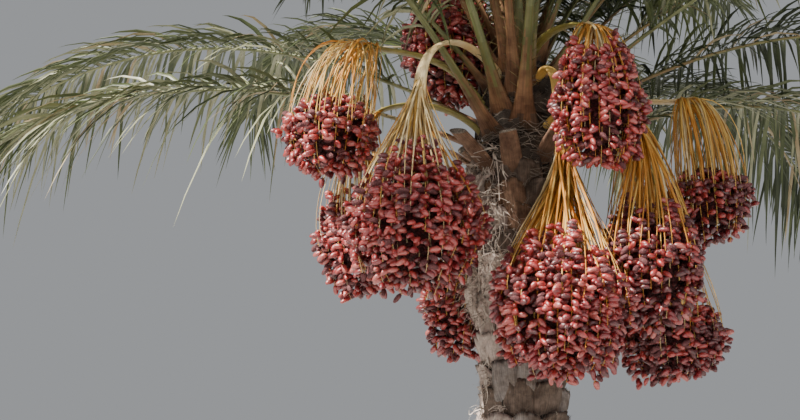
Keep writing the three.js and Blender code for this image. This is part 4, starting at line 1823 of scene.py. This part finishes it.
    def strands(self) -> Shapes:
        """Make the strands: flat bands that face outward, wide at the stalk and thin at the end.

        Returns:
            One closed shape for each strand.
        """
        part = np.linspace(0, 1, self.strand_rows)
        line = bezier(self.corners, part)
        along = slope(line)
        away = unit((self.corners[:, 2] - self.middle) * LEVEL)
        away = away + np.cross(away, UP) * scatter(self.strand, 54, 0.7)[:, None]
        side = unit(np.cross(along, away[:, None] + 0.35 * UP))
        face = np.cross(along, side)
        root_width, end_width = self.strand_half_width
        wide = mix(root_width * self.bunch.straws.breadth, end_width, part**0.85)
        wide = wide * pick((0.6, 1.3), self.strand, 51)[:, None]
        deep = mix(*self.strand_half_depth, part) * pick((0.8, 1.2), self.strand, 52)[:, None]
        return tube(line, side, face, wide, deep, self.strand_columns)

    def date_places(self) -> tuple[Array, Array]:
        """Place the dates along the strands, from their ends up, outside the core.

        Returns:
            Each date's root on its strand, and its lot number.
        """
        straws = self.bunch.straws
        samples = np.linspace(0, 1, 80)
        line = bezier(self.corners, samples)
        inside = self.sunk(line) < 1.06
        enter = np.where(inside.any(axis=1), samples[np.argmax(inside, axis=1)], 0.8)
        bare = straws.bare * chance(self.strand, 61) ** 1.5
        early = 1 - straws.early * chance(self.strand, 67)
        enter = np.clip(mix(enter * early, 1.0, bare), 0.25, 0.97)
        steps = np.linalg.norm(np.diff(line, axis=1), axis=-1)
        within = np.sum(steps * (samples[1:] > enter[:, None]), axis=1)
        each = (within / (self.date_spacing * straws.dense)).astype(int)
        each = np.clip(each, self.least_dates, self.most_dates)
        order = np.arange(self.most_dates)
        part = 1 - (order + 0.35) / each[:, None] * (1 - enter[:, None])
        root = bezier(self.corners, np.clip(part, 0, 1))
        here = (order < each[:, None]) & (self.within(root)[0] > self.clear_share)
        gaps = self.gap_fillers(root[here])
        lot = (self.strand[:, None] * self.most_dates + order)[here]
        gap_lot = self.lots(self.gap_lots, len(gaps))
        return np.concatenate([root[here], gaps]), np.concatenate([lot, gap_lot])

    def layer(self, area: float, depths: Limits) -> Array:
        """Spread places evenly under the skin, by the golden angle and equal steps of height.

        Args:
            area: How much of the skin one place has.
            depths: The least and most share of the fruit's size that the places lie at.

        Returns:
            The places, (n, 3).
        """
        wide, high = self.bunch.half
        count = int(self.bunch.skin_area() * depths[1] ** 2 / area)
        number = np.arange(count)
        height = 1 - (number + 0.5) / count * 2
        azimuth = number * GOLDEN_ANGLE
        depth = pick(depths, number, 66) * self.lumps(azimuth, height)
        level = wide * depth * np.sqrt(1 - height**2) * slimming(height)
        places = outward(azimuth) * level[:, None] + UP * (high * depth * height)[:, None]
        return self.middle + places

    def gap_fillers(self, taken: Array) -> Array:
        """Find the gaps between the dates: places under the skin that no root comes near.

        Args:
            taken: The roots of the dates on the strands.

        Returns:
            The places, (n, 3).
        """
        places = self.layer(self.gap_area, self.gap_depth)
        apart = np.linalg.norm(places[:, None] - taken, axis=-1).min(axis=1)
        height = self.within(places)[1]
        return places[(apart > self.gap) & (height < self.gap_height)]

    def date_aims(self, root: Array, lot: Array) -> Array:
        """Aim each date out of the bunch and aside, and more downward low in the bunch.

        Args:
            root: Where each date meets its strand.
            lot: The lot number that its aim varies by.

        Returns:
            The unit directions, (dates, 3).
        """
        height = self.within(root)[1]
        level = unit((root - self.middle) * LEVEL)
        away = level + UP * (0.35 * height)[..., None]
        aside = np.cross(UP, level) * np.sign(scatter(lot, 62, 1.0))[..., None]
        low = np.clip(-height - 0.4, 0, 1)
        sink = 0.16 + 0.8 * low + scatter(lot, 65, 0.5)
        aim = away * pick((0.05, 0.85), lot, 63)[..., None]
        return unit(aim + aside * pick((0.35, 1.1), lot, 64)[..., None] - UP * sink[..., None])

    def inner_dates(self) -> Shapes:
        """Make the dates that only show between the others, with few faces, lying on the core.

        They are near-black red, painted shade on the dates deep in the bunch.

        Returns:
            One closed shape for each date.
        """
        root = self.layer(self.under_area, self.under_depth)
        lot = self.lots(self.under_lots, len(root))
        return INNER_DATE.shapes(root, self.date_aims(root, lot), lot)

    def caps(self) -> Shapes:
        """Make the small cap that holds each date: a cone over its root.

        Returns:
            One open cone for each date.
        """
        across, face = square_pair(self.aim)
        angle = ring_angles(self.cap_columns)
        ring = across[:, None] * np.cos(angle)[:, None] + face[:, None] * np.sin(angle)[:, None]
        root, aim = self.root[:, None], self.aim[:, None]
        points = np.concatenate(
            [root + ring * self.cap_radius + aim * self.cap_depth, root - aim * 0.001], axis=1
        )
        faces = fan_faces(self.cap_columns, 0, self.cap_columns, flip=True)
        places = np.zeros(points.shape[:2] + (2,))
        return Shapes(points, places, np.zeros((0, 4), int), faces)

    def skins(self) -> tuple[Shapes, Array]:
        """Make the whole dates, and deal each a number from 0 to 1 that picks its colour."""
        shapes = WHOLE_DATE.shapes(self.root, self.aim, self.lot)
        # A power over 1 deals more of the dark colours: painted shade on bunches in shadow
        return shapes, chance(self.lot, 74) ** self.bunch.painted_shade

    def coloured_strands(self) -> list[tuple[Shapes, Finish]]:
        """Deal the strands their straws: cream, yellow and orange by the bunch's shares.

        Returns:
            The strands of each colour, with its finish.
        """
        straws = self.bunch.straws
        body, tone = self.strands(), chance(self.strand, 53)
        bounds = [0.0, straws.cream, straws.cream + straws.yellow, 1.0]
        return [
            (body.chosen(in_range(tone, low, high)), colour.value)
            for colour, low, high in zip(STRAND_COLOURS, bounds, bounds[1:])
        ]

    def stalk_finish(self) -> Finish:
        """Choose the stalk's colour: yellow over broad straps, or else olive and cream in turn.

        Returns:
            The finish.
        """
        if self.bunch.straws is STRAPS:
            return Straw.YELLOW.value
        return (Straw.OLIVE, Straw.CREAM)[self.key % 2].value


@dataclass(frozen=True)
class Fruit:
    """All the bunches."""

    form: TrunkForm

    def build(self) -> None:
        """Make the stalks, the strands, the cores, the caps and the dates of every bunch."""
        clusters = [Cluster(self.form, bunch, key) for key, bunch in enumerate(BUNCHES)]
        # The cores and the inner dates take the painted shade skin
        shade = Skin.SHADE.value
        pieces = {
            "fruit_stalks": [(one.stalk(), one.stalk_finish()) for one in clusters],
            "fruit_strands": [part for one in clusters for part in one.coloured_strands()],
            "fruit_cores": [
                (shapes, shade) for one in clusters for shapes in (one.core(), one.inner_dates())
            ],
            "date_caps": [(one.caps(), Straw.ORANGE.value) for one in clusters],
        }
        skins = [one.skins() for one in clusters]
        low = 0.0
        for colour, part in SKIN_SHARES.items():
            pieces[f"dates_{colour.name.lower()}"] = [
                (body.chosen(in_range(tone, low, low + part)), colour.value) for body, tone in skins
            ]
            low += part
        for name, parts in pieces.items():
            add_piece(name, parts, node_names("bunch_"))


# The fronds


Frames = dict[str, Array]


@dataclass
class Crown:
    """The fronds of the crown, each at its place of the spiral, and the unopened spear leaves.

    A rib's sizes go from its foot to its tip. blade_part and blade_width are the rows of a
    leaflet: their shares of its length and of its width. Each of the spears has a tilt and a
    direction in degrees and a size.
    """

    form: TrunkForm
    frond_places: int = 64
    first_azimuth: float = 30.0
    length: float = 3.3
    lowest_rise: float = 26.0
    steepest_rise: float = 82.0
    most_rise: float = 86.0
    rise_power: float = 1.3
    old_bend: float = 74.0
    young_bend: float = 36.0
    bend_power: float = 1.4
    open_azimuth: float = -92.0
    open_lift: float = 34.0
    foot_sunk: float = 0.024
    foot_half_width: float = 0.042
    foot_half_depth: float = 0.017
    rib_half_width: Limits = (0.020, 0.003)
    rib_half_depth: Limits = (0.013, 0.002)
    rib_steps: int = 60
    rib_columns: int = 12
    petiole_share: float = 0.17
    spine_pairs: int = 11
    spine_length: Limits = (0.015, 0.075)
    spine_size: tuple[float, ...] = (0.0026, 0.0018, 0.0004)
    leaflet_last: float = 0.985
    leaflet_length: float = 0.45
    leaflet_pairs: int = 172
    leaflet_half_width: float = 0.0106
    leaflet_planes: tuple[float, ...] = (-20.0, 6.0, 24.0, -4.0)
    blade_part: tuple[float, ...] = (0.0, 0.14, 0.38, 0.66, 0.88)
    blade_width: tuple[float, ...] = (0.34, 0.82, 1.0, 0.80, 0.42)
    tone_bounds: tuple[float, ...] = (0.40, 0.67, 0.83)
    worn_share: float = 0.22
    fruit_room: float = 1.04
    spears: tuple[tuple[float, ...], ...] = (
        (3.0, 40.0, 1.0),
        (9.0, 170.0, 0.86),
        (11.0, 290.0, 0.78),
    )
    spear_blades: int = 54
    spear_length: float = 1.75
    spear_blade_length: float = 0.62
    spear_half_width: float = 0.024

    def __post_init__(self) -> None:
        """Work out every standing frond's rule and its rib."""
        self.place = np.array([int(name[-2:]) for name in node_names("frond_")])
        place = self.place
        self.youth = place / (self.frond_places - 1)
        youth = self.youth
        self.azimuth = place * GOLDEN_ANGLE + self.first_azimuth
        opened = np.maximum(0, np.cos(np.radians(self.azimuth - self.open_azimuth)))
        rise = mix(self.lowest_rise, self.steepest_rise, youth**self.rise_power)
        rise = rise + self.open_lift * opened * (1 - youth) ** 1.5
        self.rise = np.minimum(rise + vary(place, 1, 3.0), self.most_rise)
        self.bend = mix(self.old_bend, self.young_bend, youth) + vary(place, 2, 7.0)
        self.sway = vary(place, 3, 12.0)
        self.twist = vary(place, 4, 40.0)
        swell = 0.8 + 0.2 * np.sin(np.pi * np.minimum(youth + 0.25, 1))
        self.frond_length = self.length * swell * (1 - 0.16 * youth)
        top = self.form.crown_z + self.form.heart_height * 0.86
        self.foot_z = mix(self.form.crown_z + 0.04, top, youth)
        self.slim = mix(1.0, 0.5, youth)
        self.rib_line, self.rib_along = self.rib_path()

    def rib_path(self) -> tuple[Array, Array]:
        """Follow every rib from its foot.

        The rise at a share s of the length is rise - bend s^1.4 and the azimuth sways by
        sway s, so each step of the rib goes that way.

        Returns:
            The points of each rib and its direction there, (fronds, steps + 1, 3).
        """
        part = np.arange(self.rib_steps + 1) / self.rib_steps
        rise = np.radians(self.rise[:, None] - self.bend[:, None] * part**self.bend_power)
        level = outward(self.azimuth[:, None] + self.sway[:, None] * part)
        along = level * np.cos(rise)[..., None] + UP * np.sin(rise)[..., None]
        distance = self.form.radius(self.foot_z) - self.foot_sunk
        foot = self.form.beside(self.azimuth, distance, self.foot_z)
        step = (self.frond_length / self.rib_steps)[:, None, None]
        travel = np.cumsum(along[:, :-1] * step, axis=1)
        line = np.concatenate([foot[:, None], foot[:, None] + travel], axis=1)
        return line, along

    def frames(self, part: Array) -> tuple[Array, Array, Array, Array]:
        """Give the place, direction, side and face of every rib at shares of its length.

        Args:
            part: The shares, (n,) or (fronds, n).

        Returns:
            Four arrays, (fronds, n, 3).
        """
        part = np.broadcast_to(part, (len(self.place), np.shape(part)[-1]))
        step = np.clip(part * self.rib_steps, 0, self.rib_steps - 1e-6)
        low = step.astype(int)
        ahead = (step - low)[..., None]
        frond = np.arange(len(self.place))[:, None]
        place, along = (
            line[frond, low] * (1 - ahead) + line[frond, low + 1] * ahead
            for line in (self.rib_line, self.rib_along)
        )
        along = unit(along)
        side = outward(self.azimuth[:, None] + self.sway[:, None] * part + 90)
        side = square_to(side, along)
        face = np.cross(along, side)
        twist = self.twist[:, None] * part
        return place, along, turned(side, along, twist), turned(face, along, twist)

    def rib_size(self, part: Array) -> tuple[Array, Array]:
        """Give half width and half depth of every rib: a broad foot, then a slow taper.

        Args:
            part: Shares of the length, (fronds, n).

        Returns:
            Two arrays, (fronds, n).
        """
        foot = np.maximum(0, 1 - part / 0.11) ** 1.6
        wide = mix(*self.rib_half_width, part**0.8)
        wide = wide + (self.foot_half_width - self.rib_half_width[0]) * foot
        deep = mix(*self.rib_half_depth, part**0.8)
        deep = deep + (self.foot_half_depth - self.rib_half_depth[0]) * foot
        thin = mix(1.0, 0.75, self.youth)
        return wide * self.slim[:, None], deep * thin[:, None]

    def ribs(self) -> Shapes:
        """Make the ribs: one closed shape each, in tones from the husky foot to the pale tip.

        The tones keep to shares of the length that run a (s/0.4) further up on one frond than on
        another, and the foot is broader by 0.026 exp(-(s/0.028)^2) + 0.010 exp(-(s/0.14)^2).

        Returns:
            One shape for each frond.
        """
        ends = np.array([0.014, 0.034, 0.056, 0.082, 0.115, 0.17, 0.32, 0.58])
        even = np.concatenate([np.arange(0, 0.2, 0.0085), np.linspace(0.2, 1.0, 26)])
        age = pick((0.4, 1.8), self.place, 105)[:, None]
        part = even * mix(age, 1.0, np.clip(even / 0.4, 0, 1))
        place, _, side, face = self.frames(part)
        wide, deep = self.rib_size(part)
        broad = 0.026 * np.exp(-((part / 0.028) ** 2)) + 0.010 * np.exp(-((part / 0.14) ** 2))
        rough = 1 + 0.07 * crags(70 * part, 0, self.place[:, None]) * np.exp(-part / 0.05)
        crease = 0.4 * np.exp(-part / 0.06)
        wide = (wide + broad * mix(self.slim[:, None], 1.0, 0.35)) * rough
        columns = self.rib_columns
        shapes = tube(place, side, face, wide, deep * rough, columns, flat=0.55, crease=crease)
        middles = (even[:-1, None] + even[1:, None]) / 2
        cell = np.arange(middles.size * columns).reshape(-1, columns)
        streaks = 0.35 * crags(2.0 * np.arange(columns), 9 * middles, 4.0) + scatter(cell, 106, 0.12)
        tones = np.digitize(middles * (1 + streaks), ends).ravel()
        return shapes.toned(tones, 0, len(ends))

    def spines(self) -> Shapes:
        """Make the long spines on both edges of every petiole, each a slim three-sided cone.

        Returns:
            One closed shape for each spine.
        """
        pairs = self.spine_pairs
        part = mix(0.05, self.petiole_share + 0.01, (np.arange(pairs) + 0.5) / pairs)
        place, along, side, face = self.frames(part)
        wide, deep = self.rib_size(part)
        lot = self.place[:, None] * pairs + np.arange(pairs)
        cones = []
        for hand in (-1.0, 1.0):
            root = place + side * (hand * wide * 0.9)[..., None] + face * (deep * 0.3)[..., None]
            aim = unit(along * 0.75 + side * hand + face * scatter(lot, 81 + hand, 0.7)[..., None])
            length = pick(self.spine_length, lot, 83 + hand) * mix(1.0, 0.6, self.youth)[:, None]
            root, aim = root.reshape(-1, 1, 3), aim.reshape(-1, 1, 3)
            line = root + aim * length.reshape(-1, 1, 1) * np.linspace(0, 1, 3)[:, None]
            across = np.broadcast_to(unit(np.cross(aim, UP)), line.shape)
            size = np.broadcast_to(np.array(self.spine_size), line.shape[:2])
            cones.append(tube(line, across, np.cross(aim, across), size, size, 3))
        return replace(
            cones[0],
            points=np.concatenate([cone.points for cone in cones]),
            places=np.concatenate([cone.places for cone in cones]),
        )

    def leaflet_frames(self, hand: float) -> Frames:
        """Work out the leaflets on one side of every rib.

        The length swells as sin(pi (0.16 + 0.74 p))^0.7 along the share p of the blade, the angle
        to the rib closes from 62 to 24 degrees, and leaflets stand in several planes about a
        lift of 34 to 14 degrees over the frond's face.

        Args:
            hand: 1 for the left side of the rib and -1 for the right.

        Returns:
            Arrays by name, (leaflets,) or (leaflets, 3).
        """
        pairs = self.leaflet_pairs
        number = np.arange(pairs)
        clump = np.floor(number / 4) * 4 + 1.5
        part = np.clip((mix(number, clump, 0.22) + 0.5) / pairs, 0, 1)
        on_rib = mix(self.petiole_share, self.leaflet_last, part)
        place, along, side, face = self.frames(on_rib)
        wide, deep = self.rib_size(on_rib)
        lot = self.place[:, None] * 211 + number * 2 + (hand > 0)
        swell = np.sin(np.pi * np.minimum(0.16 + part * 0.74, 1)) ** 0.7
        length = self.leaflet_length * mix(0.45, 1.0, swell) * mix(1.0, 0.8, self.youth)[:, None]
        length = length * pick((0.80, 1.08), lot, 91)
        planes = np.array(self.leaflet_planes)[number % len(self.leaflet_planes)]
        sweep = np.radians(mix(62.0, 24.0, part) + scatter(lot, 92, 8.0))[..., None]
        lift = np.radians(mix(34.0, 14.0, part) + planes + scatter(lot, 93, 12.0))[..., None]
        aim = along * np.cos(sweep) + side * hand * np.sin(sweep) * np.cos(lift)
        aim = unit(aim + face * np.sin(sweep) * np.sin(lift))
        across = turned(square_to(along, aim), aim, scatter(lot, 94, 42.0))
        age = (1 - self.youth)[:, None]
        droop = mix(0.12, 0.62, age) * pick((0.7, 1.3), lot, 100)
        droop = droop + chance(lot, 95) ** 4 * mix(0.1, 0.9, age)
        frames = {
            "root": place + side * (hand * wide * 0.8)[..., None] + face * (deep * 0.35)[..., None],
            "aim": aim,
            "across": across * hand,
            "length": length,
            "droop": droop,
            "lot": lot + 0.0,
            "youth": np.broadcast_to(self.youth[:, None], lot.shape),
            "frond": np.broadcast_to(self.place[:, None], lot.shape),
        }
        return {
            key: value.reshape(-1, 3) if value.ndim == 3 else value.ravel()
            for key, value in frames.items()
        }

    def leaflets(self, frames: Frames) -> Shapes:
        """Make the leaflets: narrow blades folded along the middle that droop as t^2.

        Args:
            frames: The arrays of leaflet_frames.

        Returns:
            One blade for each leaflet.
        """
        part, width = np.array(self.blade_part), np.array(self.blade_width)
        lot = frames["lot"]
        half = self.leaflet_half_width * pick((0.75, 1.15), lot, 96) * (0.55 + frames["length"])
        fold = np.radians(pick((18.0, 40.0), lot, 97))[:, None, None]
        across, aim = frames["across"], frames["aim"]
        normal = np.cross(aim, across)
        normal = normal * np.sign(np.sum(normal * UP, axis=-1, keepdims=True) + 1e-6)
        bow = scatter(lot, 98, 0.08)[:, None]
        middle = self.blade_line(frames, part, bow)
        tip = self.blade_line(frames, np.array([1.0]), bow)
        reach = (half[:, None] * width)[..., None]
        side = across[:, None] * reach * np.cos(fold)
        lift = normal[:, None] * reach * np.sin(fold)
        rows = np.stack([middle - side + lift, middle, middle + side + lift], axis=2)
        length = frames["length"][:, None]
        sideways = reach * np.array([-1.0, 0.0, 1.0])
        run = np.broadcast_to((length * part)[..., None], sideways.shape)
        places = np.stack([sideways, run], axis=-1).reshape(len(lot), -1, 2)
        end = np.stack([0 * length, length], axis=-1)
        last = 3 * (len(part) - 1)
        return Shapes(
            np.concatenate([rows.reshape(len(lot), -1, 3), tip], axis=1),
            np.concatenate([places, end], axis=1),
            grid_faces(len(part), 3),
            np.array([[last, last + 1, last + 3], [last + 1, last + 2, last + 3]]),
        )

    def blade_line(self, frames: Frames, part: Array, bow: Number = 0.0) -> Array:
        """Give the middle line of each blade: straight out, less the droop t^2, bowed sideways.

        Args:
            frames: The arrays of leaflet_frames.
            part: Shares of a blade's length, (n,).
            bow: How far each tip is bowed, as a share of the blade's length.

        Returns:
            The points, (blades, n, 3).
        """
        length, droop = frames["length"][:, None], frames["droop"][:, None]
        out = frames["aim"][:, None] * part[:, None] - UP * (droop * part**2)[..., None]
        side = frames["across"][:, None] * (bow * part**2)[..., None]
        return frames["root"][:, None] + (out + side) * length[..., None]

    def spear_leaves(self) -> Shapes:
        """Make the unopened leaves in the middle: long blades laid along the upright spears.

        Returns:
            One blade for each leaflet.
        """
        blades = self.spear_blades
        foot = self.form.axis(self.form.crown_z + self.form.heart_height - 0.04)
        number = np.tile(np.arange(blades), len(self.spears))
        tilt, azimuth, size = np.repeat(np.array(self.spears), blades, axis=0).T
        lean = np.radians(tilt)[:, None]
        axis = outward(azimuth) * np.sin(lean) + UP * np.cos(lean)
        part = mix(0.0, 0.72, (number % blades) / blades)
        spin = square_to(outward(number * GOLDEN_ANGLE), axis)
        span = self.spear_length * size
        wide = self.spear_half_width * size * (1 - 0.5 * part)
        frames = {
            "root": foot + axis * (span * part)[:, None] + spin * wide[:, None],
            "aim": unit(axis + spin * vary(number, 99, 0.03)[:, None]),
            "across": np.cross(axis, spin),
            "length": np.minimum(span * (1 - part), self.spear_blade_length * size),
            "droop": np.zeros(len(number)),
            "lot": number + 5000.0,
        }
        return self.leaflets(frames)

    def clear_of_fruit(self, frames: Frames) -> Array:
        """Tell which leaflets keep out of every bunch, at three points of each blade.

        Args:
            frames: The arrays of leaflet_frames.

        Returns:
            A mask, (leaflets,).
        """
        clear = np.ones(len(frames["lot"]), bool)
        points = self.blade_line(frames, np.array([0.35, 0.7, 1.0]))
        for bunch in BUNCHES:
            wide, high = bunch.half
            size = np.array([wide, wide, high]) * self.fruit_room
            away = np.linalg.norm((points - bunch.middle(self.form)) / size, axis=-1)
            clear &= (away > 1).all(axis=1)
        return clear

    def tones(self, frames: Frames) -> Array:
        """Deal a tone to every leaflet: each frond has its own, and some leaflets the next.

        Args:
            frames: The arrays of leaflet_frames.

        Returns:
            The number of each leaflet's tone.
        """
        own = chance(frames["frond"], 101)
        value = 0.5 * own + 0.5 * chance(frames["lot"], 102) + 0.12 * (0.5 - frames["youth"])
        tone = np.digitize(value, self.tone_bounds)
        worn = np.where(chance(frames["frond"], 104) < self.worn_share, 0.30, 0.05)
        dry = chance(frames["lot"], 103) < worn * np.maximum(0, 0.95 - frames["youth"])
        return np.where(dry, len(Leaf) - 1, tone)

    def build(self) -> None:
        """Make the ribs, the spines, the leaflets and the spear leaves."""
        names = node_names("frond_")
        ribs = self.ribs()
        look = np.floor(chance(self.place, 107) * len(RIB_LOOKS))
        dressed = [
            (ribs.chosen(look == number), tuple(rib.value for rib in ribs_look))
            for number, ribs_look in enumerate(RIB_LOOKS)
        ]
        add_piece("frond_ribs", dressed, names)
        add_piece("frond_spines", [(self.spines(), Rib.OLIVE.value)], names)
        sides = [self.leaflet_frames(1.0), self.leaflet_frames(-1.0)]
        frames = {key: np.concatenate([side[key] for side in sides]) for key in sides[0]}
        clear = self.clear_of_fruit(frames)
        frames = {key: value[clear] for key, value in frames.items()}
        blades, tones = self.leaflets(frames), self.tones(frames)
        for number, tone in enumerate(Leaf):
            chosen = blades.chosen(tones == number)
            add_piece(f"leaflets_{tone.name.lower()}", [(chosen, tone.value)], names)
        spears = [(self.spear_leaves(), Leaf.GREY.value)]
        add_piece("spear_leaf_blades", spears, ["spear_leaves"])


# The studio


@dataclass(frozen=True)
class Sun:
    """A soft sun lamp.

    turn is about X, Y and Z in degrees, and unturned it shines straight down. width is its width
    in the sky in degrees, which softens the shadows.
    """

    name: str
    turn: tuple[float, float, float]
    energy: float
    width: float
    colour: Colour

    def build(self) -> None:
        """Add the lamp."""
        lamp = bpy.data.lights.new(self.name, "SUN")
        lamp.energy = self.energy
        lamp.angle = np.radians(self.width)
        lamp.color = self.colour
        sun = bpy.data.objects.new(self.name, lamp)
        sun.rotation_euler = Euler(np.radians(self.turn))
        bpy.context.scene.collection.objects.link(sun)


@dataclass(frozen=True)
class Studio:
    """A pale floor, soft pale light and the camera at the photograph's place."""

    floor_half_width: float = 40.0
    floor_colour: Colour = (0.40, 0.40, 0.393)
    floor_roughness: float = 0.9
    sky_colour: Colour = (0.90, 0.93, 0.97)
    sky_strength: float = 0.36
    suns: tuple[Sun, ...] = (
        Sun("sun", (44.0, 0.0, -56.0), 11.6, 1.5, (1.0, 0.95, 0.87)),
        Sun("fill", (62.0, 0.0, 20.0), 0.35, 40.0, (0.95, 0.97, 1.0)),
    )
    camera_place: tuple[float, float, float] = (-0.46, -7.0, 1.6)
    camera_pitch: float = 13.5
    lens: float = 78.75
    film_width: float = 36.0

    def build(self) -> None:
        """Make the floor, the sky light, the suns and the camera."""
        self.add_floor()
        self.add_sky()
        for sun in self.suns:
            sun.build()
        self.add_camera()

    def add_floor(self) -> None:
        """Lay a pale square floor round the palm, as part of the stage."""
        floor = bpy.data.meshes.new("floor")
        half = self.floor_half_width
        corners = [(-half, -half, 0), (half, -half, 0), (half, half, 0), (-half, half, 0)]
        floor.from_pydata(corners, [], [(0, 1, 2, 3)])
        pale = bpy.data.materials.new("floor_pale")
        pale.use_nodes = True
        shader = pale.node_tree.nodes["Principled BSDF"]
        shader.inputs["Base Color"].default_value = (*self.floor_colour, 1.0)
        shader.inputs["Roughness"].default_value = self.floor_roughness
        floor.materials.append(pale)
        ground = bpy.data.objects.new("floor", floor)
        bpy.context.scene.collection.objects.link(ground)

    def add_sky(self) -> None:
        """Light the scene evenly with a pale sky."""
        world = bpy.data.worlds.new("sky")
        world.use_nodes = True
        background = world.node_tree.nodes["Background"]
        background.inputs["Color"].default_value = (*self.sky_colour, 1.0)
        background.inputs["Strength"].default_value = self.sky_strength
        bpy.context.scene.world = world

    def add_camera(self) -> None:
        """Add the camera: level with a standing person's eyes and tipped up to the crown."""
        data = bpy.data.cameras.new("camera")
        data.sensor_width = self.film_width
        data.lens = self.lens
        camera = bpy.data.objects.new("camera", data)
        camera.location = self.camera_place
        camera.rotation_euler = Euler(np.radians((90.0 + self.camera_pitch, 0.0, 0.0)))
        bpy.context.scene.collection.objects.link(camera)
        bpy.context.scene.camera = camera


def main() -> None:
    """Build the studio and the palm."""
    logging.basicConfig(level=logging.INFO, format="%(name)s: %(message)s")
    form = TrunkForm()
    Studio().build()
    for part in (Trunk(form), Fruit(form), Crown(form)):
        log.info("building the %s", type(part).__name__.lower())
        part.build()


if __name__ == "__main__":
    main()
